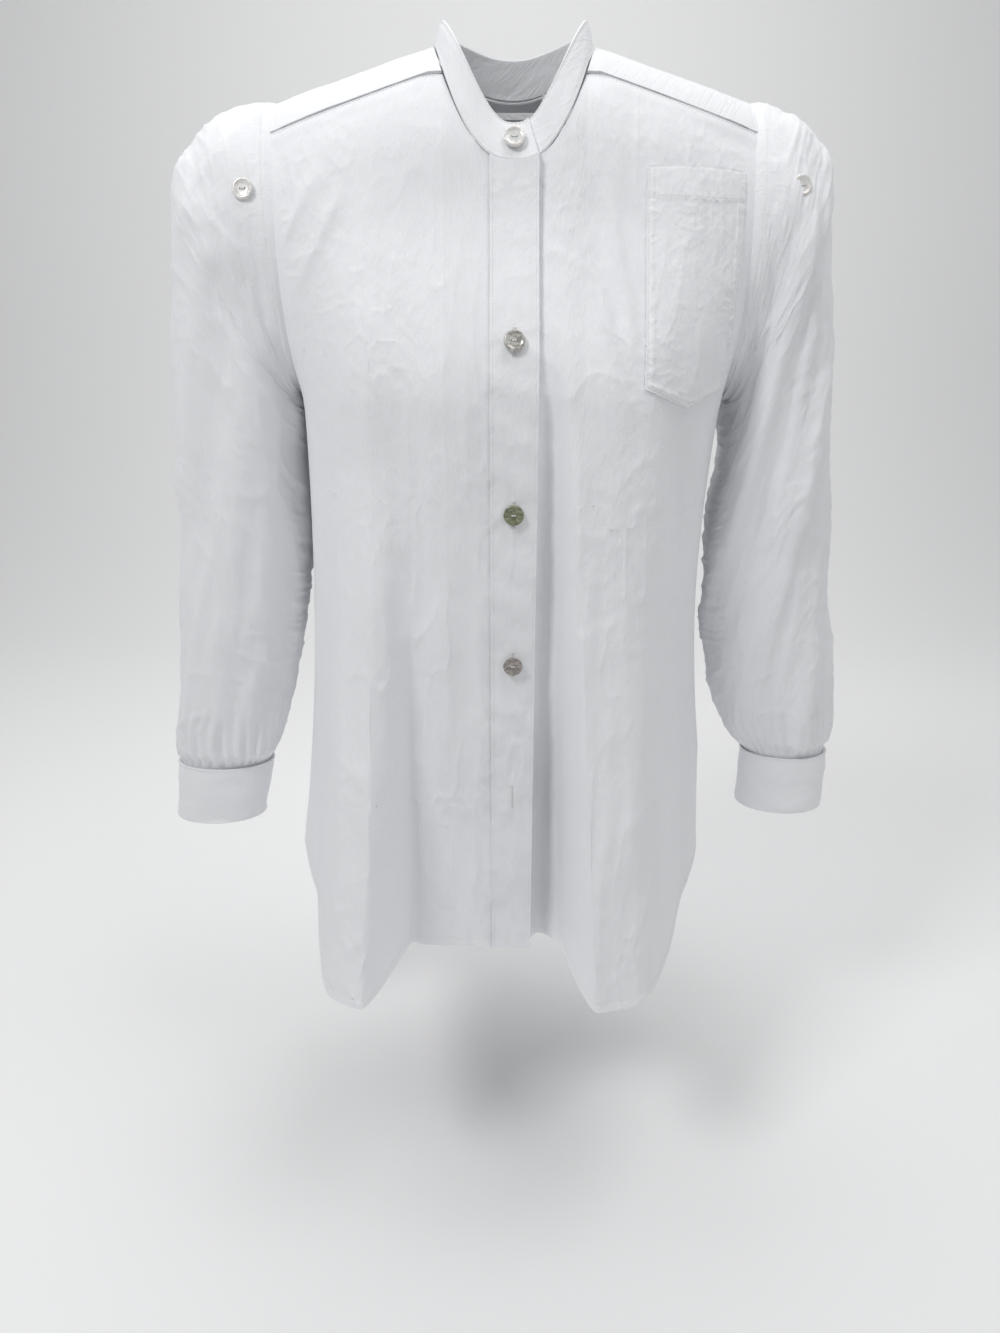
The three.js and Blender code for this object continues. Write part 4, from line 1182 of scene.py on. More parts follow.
class Front:
    """One half of the front: its panel, its placket and their stitching."""

    TUCK = 3.6  # how far the panel runs up under the yoke
    YOKE_START = 57  # distance from the middle at which the yoke seam's stitches start

    def __init__(self, half: Half) -> None:
        """Keeps the half and lays out the grid's columns and rows."""
        self.half = half
        lap = np.array([0, 1.2, 3, 6, 9, 12, 14.5, 16.6, 17.72, 18.28, 19.4, 21.5, 24, 27, 30, 33, 34.8, 36])
        self.lap_us = lap / 36 * LAP_SHARE
        wide = LAP_SHARE + (1 - LAP_SHARE) * np.linspace(0, 1, 126)[1:]
        self.panel_us = np.concatenate([self.lap_us, wide])
        vs = [np.linspace(0, 1, 272), [self.v_at(z + off) for z in SHAPE.button_zs for off in
              (HOLE_HALF, HOLE_HALF - 1, -HOLE_HALF, 1 - HOLE_HALF)]]
        hem = 1 - BESIDE_HEM_LINE / 820
        self.vs = np.unique(np.concatenate([*vs, hem]))

    @staticmethod
    def v_at(z: float) -> float:
        """Row share of a height in the middle of the placket."""
        top = -SHAPE.neck_front_drop - SHAPE.gap
        if z > SHAPE.armpit:
            return UPPER_SHARE * (z - top) / (SHAPE.armpit - top)
        return UPPER_SHARE + (1 - UPPER_SHARE) * (z - SHAPE.armpit) / (SHAPE.front_hem - SHAPE.armpit)

    def depth(self, x: Array, z: Array) -> Array:
        """Depth of the placket's face at x, counted to the half's own side, with its creases."""
        smooth = SHAPE.front_depth(self.half, x, z)
        if self.half.sign > 0:
            smooth = smooth - SHAPE.left_inset(x, z)
        return smooth + CREASES.front(self.half.sign * x, z, SHAPE.half_width(self.half, z))

    def grid(self, us: Array, vs: Array) -> Array:
        """Places on the placket's face for columns us and rows vs."""
        u, v = us[None, :], vs[:, None]
        w = (u - LAP_SHARE) / (1 - LAP_SHARE)
        held = np.minimum(1.0, w)
        lapped = mix(-SHAPE.lap, SHAPE.lap, u / LAP_SHARE)
        across = np.where(w < 0, lapped, mix(SHAPE.lap, SHAPE.shoulder_half, held))
        neck, yoke = SHAPE.neck_front_z(across), SHAPE.shoulder_z(across) - SHAPE.yoke_front_drop
        top = np.minimum(neck + 1.1, yoke + self.TUCK * ease((across - 54) / 6)) - SHAPE.gap
        hem = SHAPE.front_hem + (SHAPE.side_end - SHAPE.front_hem) * ease((w - 0.7) / 0.3)
        upper = mix(top, SHAPE.armpit, v / UPPER_SHARE)
        lower = mix(SHAPE.armpit, hem, (v - UPPER_SHARE) / (1 - UPPER_SHARE))
        z = np.where(v <= UPPER_SHARE, upper, lower)
        x = np.where(w < 0, across + 0 * z, mix(SHAPE.lap, SHAPE.half_width(self.half, z), held))
        if self.half.sign < 0:
            for z_hole in SHAPE.button_zs:
                room = np.sqrt(np.maximum(0.0, 1 - ((z - z_hole) / HOLE_HALF) ** 2))
                x = x + np.sign(x) * 0.7 * room * np.exp(-np.abs(x) / 2.5) * (np.abs(x) < 12)
        depth = np.maximum(self.depth(x, z), SHAPE.gap / 2)
        return np.stack([self.half.sign * x, -depth, z], axis=-1)

    def slits(self, points: Array) -> Array:
        """Cells of a grid that a buttonhole cuts away."""
        x = (points[1:, 1:, 0] + points[:-1, :-1, 0]) / 2
        z = (points[1:, 1:, 2] + points[:-1, :-1, 2]) / 2
        near = np.min([np.abs(z - hole) for hole in SHAPE.button_zs], axis=0)
        return (np.abs(x) < 0.4) & (near < HOLE_HALF)

    def layer(self, us: Array, vs: Array, depth: float, thickness: Any, holes: bool) -> Sheet:
        """A layer of the front at a depth below the placket's face."""
        face = Sheet(self.grid(us, vs), thickness, BODY_MIDDLE)
        x, z = np.abs(face.points[..., 0]), face.points[..., 2]
        seam = SHAPE.shoulder_z(x) - SHAPE.yoke_front_drop
        rise = 1.0 * ease((z - seam + 13) / 9) * ease((x - 62) / 10) if depth > 2 else 0 * z
        sheet = face.raised(rise - depth)
        if holes:
            sheet.holes = self.slits(face.points)
        return sheet

    def build(self) -> None:
        """Makes the panel, the placket, its interlining and the top stitching."""
        name, bind, right = self.half.name, riding("trunk"), self.half.sign < 0
        panel = self.layer(self.panel_us, self.vs, SHAPE.placket_stack, SHAPE.cloth, right)
        self.hemmed(panel)
        cloth(panel, f"{name}_front_cloth", Finish.POPLIN, bind, "hung", f"{name}_front")
        strip_depth = 0.0 if right else SHAPE.placket_stack - SHAPE.gap - SHAPE.cloth
        strip = self.layer(self.lap_us, self.vs, strip_depth, SHAPE.cloth, right)
        rim = np.minimum(strip.flat[..., 0], strip.width - strip.flat[..., 0])
        strip = replace(strip, points=strip.points - strip.normals * (0.3 * bell(rim - 3, 1.0))[..., None])
        cloth(strip, f"{name}_placket_cloth", Finish.POPLIN, bind, "hung", f"{name}_placket")
        if right:
            inner = self.layer(
                self.lap_us[1:-1], self.vs[2:-2], SHAPE.cloth + SHAPE.gap, SHAPE.interlining, True
            )
            cloth(inner, "placket_interlining_cloth", Finish.INTERLINING, bind, "hung",
                  "right_placket_interlining")
            self.buttonholes(strip)
        lines = [line_on(strip, (share, 0.004), (share, 0.996)) for share in (0.083, 0.917)]
        put_on(TOP_STITCH.sew(f"{name}_placket_stitches", lines), bind)
        self.hem_stitches(panel)

    def hemmed(self, panel: Sheet) -> None:
        """Thickens the panel's hem, which is turned up twice, and presses in its stitch line."""
        up = panel.length[0][None, :] - panel.flat[..., 1]
        hem = ease((HEM_DEPTH - up) / 1.6)
        panel.points = panel.points + panel.normals * (0.25 * hem - 0.3 * bell(up - HEM_LINE, 1.3))[..., None]
        panel.thickness = SHAPE.cloth + 1.2 * hem

    def hem_stitches(self, panel: Sheet) -> None:
        """A row of stitches along the hem, and one beside the yoke seam."""
        columns = panel.points.shape[1]
        start = len(self.lap_us) if self.half.sign < 0 else 1
        at = np.arange(start, columns - 1)
        yoke = at[panel.points[0, at, 0] * self.half.sign > self.YOKE_START]
        below = np.full(len(yoke), self.TUCK + 2.2)
        lines = [line_down(panel, at, panel.length[0][at] - HEM_LINE), line_down(panel, yoke, below)]
        put_on(TOP_STITCH.sew(f"{self.half.name}_hem_stitches", lines), riding("trunk"))

    def buttonholes(self, strip: Sheet) -> None:
        """Close satin stitches down both sides of each slit, with a bar across each end."""
        rows, columns = strip.points.shape[:2]
        zs = strip.points[:, columns // 2, 2][::-1]
        numbers = np.arange(rows)[::-1].astype(float)
        middle = (columns - 1) / 2
        lines = []
        for z_hole in SHAPE.button_zs:
            r = np.interp(np.linspace(z_hole + HOLE_HALF, z_hole - HOLE_HALF, 40), zs, numbers)
            for side in (-1, 1):
                points, normals = strip.place(r, np.full(40, middle + side * 0.5))
                lean = points + np.array([side * 0.75, 0, 0])
                lines.append((lean, normals))
            for end in (HOLE_HALF + 0.6, -HOLE_HALF - 0.6):
                row = np.interp(z_hole + end, zs, numbers)
                points, normals = strip.place(np.full(9, row), np.full(9, middle))
                points = points + np.linspace(-1.6, 1.6, 9)[:, None] * np.array([1.0, 0, 0])
                lines.append((points, normals))
        put_on(SATIN.sew("buttonhole_stitches", lines), riding("trunk"))


class Pocket:
    """The patch pocket on the left chest."""

    INNER, WIDTH, TOP, HEIGHT, POINT = 97.0, 76.0, -94.0, 153.0, 15.0
    GAP = 0.3

    def __init__(self, front: Front) -> None:
        """Keeps the front that the pocket is sewn to."""
        self.front = front

    def build(self) -> None:
        """Makes the pocket's cloth and its stitching."""
        u = edge_rows(96, 0.02, 0.075, 0.925, 0.98)[None, :]
        v = edge_rows(150, 0.015, 0.14, 0.985)[:, None]
        x = self.INNER + self.WIDTH * u + 0 * v
        z = self.TOP - (self.HEIGHT + self.POINT * (1 - np.abs(2 * u - 1))) * v
        depth = self.front.depth(x, z)
        bag = 4.2 * np.sin(np.pi * u) ** 0.8 * (1 - v**3) * (0.75 + 0.25 * v)
        puckers = CREASES.noise.ridges(x / 8 + 40, z / 6.0, 3.0)
        side = bell(1 - u, 0.16) * ease((v - 0.25) / 0.4) + 0.6 * bell(u, 0.1) + 0.6 * bell(1 - v, 0.09)
        own = (0.9 * CREASES.noise.rumple(x + 400, z) + 1.1) * np.sin(np.pi * u) + 1.3 * puckers * side
        edge = np.minimum(np.minimum(u, 1 - u) * self.WIDTH, (1 - v) * self.HEIGHT)
        lift = bag + np.maximum(own, 0) * ease(edge / 5)
        face = Sheet(np.stack([x, -depth, z], axis=-1), SHAPE.cloth, BODY_MIDDLE)
        off = -SHAPE.placket_stack + self.GAP + SHAPE.cloth
        rim = np.minimum(edge, v * self.HEIGHT)
        thick = ease((7.0 - edge) / 1.5) + ease((24.0 - v * self.HEIGHT) / 1.5)
        groove = 0.25 * bell(rim - 1.6, 0.8) + 0.25 * bell(v * self.HEIGHT - 22.5, 0.9)
        sheet = face.raised(off + lift + 0.5 * np.minimum(thick, 1) - groove)
        sheet.thickness = SHAPE.cloth + 0.45 * np.minimum(thick, 1)
        bind = riding("trunk")
        cloth(sheet, "pocket_cloth", Finish.POPLIN, bind, "hung", "breast_pocket")
        lines = []
        for inset in (0.021, 0.085):
            low = 1 - inset * 0.5
            path = [(inset, 0.01), (inset, low), (0.5, low), (1 - inset, low), (1 - inset, 0.01)]
            lines += [line_on(sheet, *ends) for ends in zip(path, path[1:])]
        lines.append(line_on(sheet, (0.02, 0.142), (0.98, 0.142)))
        put_on(TOP_STITCH.sew("pocket_stitches", lines), bind)


# ---- Back, yoke and collar ----


class Back:
    """The back panel below the yoke."""

    def build(self) -> None:
        """Makes the panel and its hem stitches."""
        u = np.linspace(-1, 1, 201)[None, :]
        tuck = np.array([-0.01, -0.0075, -0.005, -0.003, -0.001, 0.001, 0.003, 0.006])
        hem_rows = 1 - BESIDE_HEM_LINE / 760
        v = np.unique(np.concatenate([tuck, np.linspace(0, 1, 220), hem_rows]))[:, None]
        share = np.abs(u)
        hem = SHAPE.back_hem + (SHAPE.side_end - SHAPE.back_hem) * ease((share - 0.6) / 0.4)
        upper = mix(SHAPE.yoke_back_z - SHAPE.gap, SHAPE.armpit, v / UPPER_SHARE)
        lower = mix(SHAPE.armpit, hem, (v - UPPER_SHARE) / (1 - UPPER_SHARE))
        z = np.where(v <= UPPER_SHARE, upper, lower)
        widths = np.where(u < 0, SHAPE.half_width(RIGHT, z), SHAPE.half_width(LEFT, z))
        x = u * widths
        depth = np.where(
            u < 0, SHAPE.back_depth(RIGHT, np.abs(x), z), SHAPE.back_depth(LEFT, np.abs(x), z)
        )
        under = 2.4 * ease((z - SHAPE.yoke_back_z + 2.4) / 1.8)
        depth = np.maximum(depth + CREASES.back(x, z, widths) - under, SHAPE.gap / 2)
        panel = Sheet(np.stack([x, depth, z], axis=-1), SHAPE.cloth, BODY_MIDDLE)
        up = panel.length[0][None, :] - panel.flat[..., 1]
        fold = ease((HEM_DEPTH - up) / 1.6)
        panel = panel.raised(0.2 * fold - 0.3 * bell(up - HEM_LINE, 1.3))
        panel.thickness = SHAPE.cloth + 1.2 * fold
        bind = riding("trunk")
        cloth(panel, "back_cloth", Finish.POPLIN, bind, "hung", "back")
        at = np.arange(1, panel.points.shape[1] - 1)
        beside_yoke = panel.place(np.full(len(at), 9.3), at.astype(float))
        lines = [line_down(panel, at, panel.length[0][at] - HEM_LINE), beside_yoke]
        put_on(TOP_STITCH.sew("back_stitches", lines), bind)


class Yoke:
    """The doubled yoke over the shoulders, between the neck, the armholes and the panels."""

    SHARES = (0.0, 0.55, 0.8, 1.0)

    def ends(self, u: Array) -> tuple[Array, Array, Array, Array]:
        """Neck end and outer end of each line across the yoke, as (x, turn) pairs.

        Args:
            u: place round the neck, from one front seam at -1 over the back to the other at 1.
        """
        mirror, around = np.where(u < 0, -1, 1), np.minimum(1.0, np.abs(u))
        front_turn = SHAPE.turn_at(SHAPE.yoke_front_drop)
        neck_end = SHAPE.neck_half * (1 - SHAPE.yoke_front_drop / SHAPE.neck_front_drop) ** (
            1 / SHAPE.neck_roundness
        )
        corner = SHAPE.turn_at(-SHAPE.yoke_back_z - SHAPE.shoulder_drop)
        parts = [
            np.clip((around - low) / (high - low), 0, 1) for low, high in zip(self.SHARES, self.SHARES[1:])
        ]

        def back_turn(x: Array) -> Array:
            """Angle of the back neckline at x."""
            return SHAPE.turn_at(SHAPE.neck_back_drop * (1 - (x / SHAPE.neck_half) ** 2))

        in_a = SHAPE.neck_half * 0.8 * parts[0]
        in_b = SHAPE.neck_half * mix(0.8, 1.0, np.sin(parts[1] * np.pi / 2))
        in_c = mix(SHAPE.neck_half, neck_end, 1 - np.cos(parts[2] * np.pi / 2))
        out_a = SHAPE.shoulder_half * parts[0]
        turn_a = np.maximum(SHAPE.turn_at(SHAPE.shoulder_z(out_a) - SHAPE.yoke_back_z), corner)
        pick = [around <= self.SHARES[1], around <= self.SHARES[2]]
        in_x = np.select(pick, [in_a, in_b], in_c)
        front = -SHAPE.turn_at(-SHAPE.neck_front_z(in_c))
        in_turn = np.select(pick, [back_turn(in_a), back_turn(in_b)], front)
        out_x = np.where(pick[0], out_a, SHAPE.shoulder_half)
        out_turn = np.select(pick, [turn_a, mix(corner, 0.0, parts[1])], -front_turn * parts[2])
        return mirror * in_x, in_turn, mirror * out_x, out_turn

    def build(self) -> None:
        """Makes the yoke, its facing and the stitches beside its seams."""
        half = np.unique(np.concatenate([np.linspace(0, 0.999, 100), [0.549, 0.799]]))
        u = np.concatenate([-half[:0:-1], half])[None, :]
        v = np.linspace(0, 1, 44)[:, None]
        in_x, in_turn, out_x, out_turn = self.ends(u)
        x, turn = mix(in_x, out_x, v), mix(in_turn, out_turn, v)
        face = Sheet(SHAPE.over_shoulder(x, turn), SHAPE.cloth, BODY_MIDDLE)
        edge = np.minimum(v, 1 - v) * 60
        soft = (0.5 * CREASES.noise.rumple(x + 900, turn * 110) + 0.2) * ease(edge / 8)
        bind = riding("trunk")
        yoke = face.raised(soft - 0.2 * bell(edge - 3, 1.2))
        cloth(yoke, "yoke_cloth", Finish.POPLIN, bind, "draped", "yoke")
        rows = int(0.93 * len(v))
        facing = face.raised(soft - SHAPE.cloth - SHAPE.gap)
        facing = Sheet(facing.points[:rows], SHAPE.cloth, BODY_MIDDLE)
        cloth(facing, "yoke_facing_cloth", Finish.POPLIN, bind, "draped", "yoke_facing")
        lines = [line_on(yoke, (0.004, 0.97), (0.996, 0.97))]
        put_on(TOP_STITCH.sew("yoke_stitches", lines), bind)


class CollarBand:
    """The standing band round the neck, which buttons at the front."""

    SINK = 1.3  # how far the band's lower edge closes over the panels' neck edge
    ROUND = 430.0  # about the band's length
    REACH = math.pi + math.asin(SHAPE.lap / SHAPE.neck_half)  # turn from the back of the neck to a lap's end

    @staticmethod
    def seam(turn: Array) -> Array:
        """The neck seam at an angle round the neck, 0 at the back."""
        x = SHAPE.neck_half * np.sin(turn)
        back_z = -SHAPE.neck_back_drop * np.cos(turn) ** 2
        front_z = SHAPE.neck_front_z(x)
        behind = np.cos(turn) > 0
        z = np.where(behind, back_z, front_z)
        y = np.where(
            behind, SHAPE.back_depth(RIGHT, np.abs(x), back_z), -SHAPE.front_depth(RIGHT, np.abs(x), front_z)
        )
        return np.stack([x, y, z], axis=-1)

    def surface(self, u: Array, h: Array) -> Array:
        """The band's outer face: u runs round it from lap to lap, and h up from the seam."""
        turn = mix(-self.REACH, self.REACH, u)
        seam = self.seam(turn)
        along = unit(self.seam(turn + 0.02) - self.seam(turn - 0.02))
        outward = unit(seam * np.array([1, 1, 0]) + np.array([0, 12, 0]))
        lean = np.radians(18 + 6 * np.cos(turn - math.pi))[..., None]
        up = np.array([0, 0, 1]) * np.cos(lean) - outward * np.sin(lean)
        up = unit(up - along * 0.45 * np.sum(up * along, axis=-1, keepdims=True))
        face = np.cross(along, up)
        face *= np.sign(np.sum(face * outward, axis=-1, keepdims=True))
        inset = under_lap(u, math.pi / self.REACH)[..., None]
        lift = 2 * SHAPE.gap + (SHAPE.band_stack + inset) * np.tan(lean)
        lower = 1 - 0.45 * bell(np.abs(turn) - math.pi / 2, 0.75)[..., None]
        return seam + up * (lift + h[..., None] * lower) - face * inset

    def build(self) -> None:
        """Makes the band as one turned piece, and its top stitching."""
        height = SHAPE.band_height
        low = self.SINK
        rows = [BAND_EDGE - low, np.linspace(3, height - 4, 14), height - BAND_EDGE[::-1]]
        h = np.concatenate(rows)[:, None]
        ends = BAND_EDGE / self.ROUND
        u = np.concatenate([ends, np.linspace(0.012, 0.988, 220), 1 - ends[::-1]])[None, :]
        u, h = u + 0 * h, h + 0 * u
        grid = smoothed(self.surface(u, h), 3)
        relief = CREASES.band(u * self.ROUND, h)
        band = turned(grid, SHAPE.band_stack, (0.0, -12.0, -30.0), relief)
        hole = 0.5 - math.pi / (2 * self.REACH)
        band.holes = level_slit(u, h, hole, self.ROUND, height)
        bind = riding("trunk")
        cloth(band, "collar_band_cloth", Finish.POPLIN, bind, "stretched",
              "collar_band_outer", "collar_band_inner", "collar_band_interlining")
        lines = [line_on(band, (0.01, low), (0.99, low)) for low in (0.14, 0.86)]
        put_on(TOP_STITCH.sew("collar_band_stitches", lines), bind)


def smoothed(grid: Array, times: int) -> Array:
    """A grid with each place averaged with its neighbours along the row: 1/4, 1/2, 1/4."""
    for _ in range(times):
        middle = (grid[:, :-2] + 2 * grid[:, 1:-1] + grid[:, 2:]) / 4
        grid = np.concatenate([grid[:, :1], middle, grid[:, -1:]], axis=1)
    return grid


def under_lap(u: Array, lap_start: float) -> Array:
    """How far the under lap of a band steps inwards, over a short stretch before the upper lap."""
    return (SHAPE.band_stack + SHAPE.lap_gap) * ease((u - lap_start) / 0.05 + 1.1)


# ---- Sleeves and cuffs ----


class Sleeve:
    """A sleeve with its placket, cuff, roll tab and stitching."""

    CAP_SHARE, CAP_HEIGHT = 0.3, 70.0

    def __init__(self, half: Half) -> None:
        """Keeps the half."""
        self.half = half
        self.middle = (
            half.sign * (SHAPE.shoulder_half + 50), 0.0, (SHAPE.armpit + half.cuff_z) / 2
        )

    def surface(self, angle: Array, s: Array) -> Array:
        """Places on the sleeve: s runs from the armhole to the cuff, the angle from outside to front.

        The last stretch draws in so that it runs inside the cuff.
        """
        half = self.half
        bend = np.minimum(s, self.CAP_SHARE) / self.CAP_SHARE
        turn = bend * np.pi / 2
        down = np.maximum(0.0, (s - self.CAP_SHARE) / (1 - self.CAP_SHARE))
        cap_out = (SHAPE.shoulder_half + half.reach, -SHAPE.shoulder_drop - self.CAP_HEIGHT)
        cap_in = (SHAPE.shoulder_half + 3, SHAPE.armpit - 7)
        above = s <= self.CAP_SHARE
        out_x = np.where(
            above, SHAPE.shoulder_half + half.reach * np.sin(turn), mix(cap_out[0], half.cuff_top[1], down)
        )
        out_z = np.where(
            above, -SHAPE.shoulder_drop - self.CAP_HEIGHT * (1 - np.cos(turn)),
            mix(cap_out[1], half.cuff_z, down),
        )
        in_x = np.where(
            above, mix(SHAPE.shoulder_half, cap_in[0], bend),
            mix(cap_in[0], half.cuff_top[0], np.minimum(1.0, down) ** half.inner_power),
        )
        in_z = np.where(above, mix(SHAPE.armpit, cap_in[1], bend), mix(cap_in[1], half.cuff_z, down))
        side = (1 + np.cos(angle)) / 2
        z = mix(in_z, out_z, side)
        tuck = ease((half.cuff_z + 17 - z) / 12) * ease((s - 0.8) / 0.1)
        start = np.where(np.sin(angle) > 0, SHAPE.armhole_front, SHAPE.armhole_back)
        held = np.minimum(1.0, down)
        depth = mix(start, SHAPE.cuff_depth + 12, held) - 10 * held**8 - 6.3 * tuck
        head = 1 - ease(s / 0.008)
        depth = depth - 1.6 * head
        z = z + 1.6 * head * -np.cos(angle)
        x = mix(in_x + 4.2 * tuck, out_x - 4.2 * tuck, side) + 0.8 - 3.4 * head
        y = -depth * np.sin(angle) - SHAPE.sleeve_droop * held
        return np.stack([half.sign * x, y, z], axis=-1)

    def layer(self, angles: Array, ss: Array, lift: float, thickness: float, loop: bool) -> Sheet:
        """A layer of cloth on the sleeve's surface, creased as the sleeve is."""
        angle, s = angles[None, :] + 0 * ss[:, None], ss[:, None] + 0 * angles[None, :]
        points = self.surface(angle, s)
        face = Sheet(points, thickness, self.middle, loop)
        run = s * (SHAPE.armhole_height + 420)
        sheet = face.raised(CREASES.sleeve(self.half, angle, run, s))
        return sheet.raised(np.full(angle.shape, lift)) if lift else sheet

    def build(self) -> None:
        """Makes every part of the sleeve."""
        name, bend = self.half.name, bending()
        angles = np.linspace(0, 2 * np.pi, 145)
        ss = np.unique(np.concatenate([np.linspace(0, 1.016, 250), [0.002, 0.006, 0.008, 0.01, 0.014]]))
        tube = self.layer(angles, ss, 0.0, SHAPE.cloth, True)
        cloth(tube, f"{name}_sleeve_cloth", Finish.POPLIN, bend, "hung", f"{name}_sleeve")
        behind = -np.pi / 2 + np.radians(np.linspace(-14, 14, 20))
        strip = self.layer(behind, np.linspace(0.74, 0.965, 80), SHAPE.gap + SHAPE.cloth, SHAPE.cloth, False)
        cloth(strip, f"{name}_sleeve_placket_cloth", Finish.POPLIN, bend, "hung", f"{name}_sleeve_placket")
        edges = [line_on(strip, (x, 0.02), (x, 0.98)) for x in (0.08, 0.92)]
        edges += [line_on(strip, (0.08, y), (0.92, y)) for y in (0.02, 0.1)]
        put_on(TOP_STITCH.sew(f"{name}_sleeve_placket_stitches", edges), bend)
        columns = np.arange(0, 144.5, 0.5)
        rows = np.full(len(columns), 9.0)
        put_on(TOP_STITCH.sew(f"{name}_armhole_stitches", [tube.place(rows, columns)]), bend)
        self.cuff()
        self.tab()

    def cuff(self) -> None:
        """Makes the cuff as one turned piece, with its buttonhole and top stitching."""
        half, height = self.half, SHAPE.cuff_height
        lap_turn = math.pi + SHAPE.cuff_overlap / (half.cuff_top[1] - half.cuff_top[0])
        round_length = 270.0
        ends = BAND_EDGE / round_length
        h = np.concatenate([BAND_EDGE, np.linspace(4, height - 4, 30), height - BAND_EDGE[::-1]])[:, None]
        u = np.concatenate([ends, np.linspace(0.016, 0.984, 200), 1 - ends[::-1]])[None, :]
        u, h = u + 0 * h, h + 0 * u
        turn = mix(-lap_turn, lap_turn, u) - np.pi / 2
        down = h / height
        inner = mix(half.cuff_top[0], half.cuff_bottom[0], down)
        outer = mix(half.cuff_top[1], half.cuff_bottom[1], down)
        shrink = under_lap(u, math.pi / lap_turn)
        x = (inner + outer) / 2 + ((outer - inner) / 2 - shrink) * np.cos(turn) + 0.8
        y = (SHAPE.cuff_depth - shrink) * np.sin(turn) - SHAPE.sleeve_droop
        grid = np.stack([half.sign * x, y, half.cuff_z - h], axis=-1)
        middle = (half.sign * sum(half.cuff_top) / 2, -SHAPE.sleeve_droop, half.cuff_z - height / 2)
        relief = CREASES.band(u * round_length + 60 * half.sign, h) * 2.2
        sag = 1.2 * np.sin(4 * turn + half.sign) * down - 1.1 * bell(h, 6.0)
        hole = 0.5 - math.pi / (2 * lap_turn)
        calm = 1 - bell((u - hole) * round_length, 22)
        band = turned(grid, SHAPE.band_stack, middle, (relief + sag) * calm * (1 - ease((u - 0.86) / 0.06)))
        band.holes = level_slit(u, h, hole, round_length, height)
        bind = riding(f"{half.name}_cuff_body")
        nodes = [f"{half.name}_cuff_{layer}" for layer in ("outer", "interlining", "inner")]
        cloth(band, f"{half.name}_cuff_cloth", Finish.POPLIN, bind, "gathered", *nodes)
        lines = [line_on(band, (0.012, y), (0.988, y)) for y in (0.06, 0.94)]
        lines += [line_on(band, (0.02, 0.06), (0.02, 0.94)), line_on(band, (0.98, 0.06), (0.98, 0.94))]
        put_on(TOP_STITCH.sew(f"{half.name}_cuff_stitches", lines), bind)

    def tab(self) -> None:
        """Makes the pointed roll tab inside the sleeve, in the place of its node."""
        node = f"{self.half.name}_roll_tab"
        low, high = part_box(node)
        centre_x, width = (low.x + high.x) / 2 / MM, (high.x - low.x) / MM
        top, length = high.z / MM, (high.z - low.z) / MM
        u = np.linspace(-1, 1, 26)[None, :]
        v = np.linspace(0, 1, 80)[:, None]
        point = width / 2 * (1 - np.abs(u))
        z = top - v * (length - width / 2 + point)
        y = (low.y + high.y) / 2 / MM + 0 * z
        x = centre_x + u * width / 2 + 0 * z
        face = Sheet(np.stack([x, y, z], axis=-1), 1.5, (centre_x, 60.0, top - 30))
        sheet = face.raised(0.75 + 0.2 * CREASES.noise.smooth(x / 6, z / 9))
        middle_x, middle_z = (x[1:, 1:] + x[:-1, :-1]) / 2, (z[1:, 1:] + z[:-1, :-1]) / 2
        slit = top - length + width / 2 + 12.5
        sheet.holes = (np.abs(middle_x - centre_x) < 1.0) & (np.abs(middle_z - slit) < 9.0)
        bind = riding(f"{node}_body")
        cloth(sheet, f"{node}_cloth", Finish.POPLIN, bind, "hung", node)
        edges = [line_on(sheet, (x, 0.03), (x, 0.97)) for x in (0.09, 0.91)]
        put_on(TOP_STITCH.sew(f"{node}_stitches", edges), bind)
        self.anchor()

    def anchor(self) -> None:
        """The square of stitches, with a cross in it, that holds the tab through the sleeve."""
        centre, outward = node_frame(f"{self.half.name}_tab_button")
        place = seat_matrix(centre, outward)
        square = np.array([[-6, -6], [6, -6], [6, 6], [-6, 6], [-6, -6], [6, 6], [6, -6], [-6, 6]], float)
        lines = []
        for start, end in zip(square, square[1:]):
            flat = mix(start, end, np.linspace(0, 1, 12)[:, None])
            points = np.concatenate([flat, np.full((12, 1), 0.0)], axis=1)
            move = np.array(place)
            lines.append((points @ move[:3, :3].T + move[:3, 3], np.tile(outward, (12, 1))))
        self.anchor_lines = lines


# ---- Buttons and trims ----


def node_frame(node: str) -> tuple[Array, Array]:
    """Middle of a button's back face and the way the button faces, from its node's mesh."""
    points = np.array([v.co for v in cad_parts[node].data.vertices], float) / MM
    middle = (points.max(axis=0) + points.min(axis=0)) / 2
    outward = np.linalg.svd(points - points.mean(axis=0), full_matrices=False)[2][2]
    outward = outward * (1 if outward[1] * (1 if middle[1] > 0 else -1) > 0 else -1)
    along = (points - middle) @ outward
    return middle + outward * along.min(), outward


def seat_matrix(point: Array, outward: Array) -> Matrix:
    """Axes with Z along the way out and Y as near to upright as can be, set at a point."""
    side = unit(np.cross([0, 0, 1], outward))
    up = np.cross(outward, side)
    columns = np.stack([side, up, outward, point], axis=1)
    return Matrix([*columns.tolist(), [0, 0, 0, 1]])


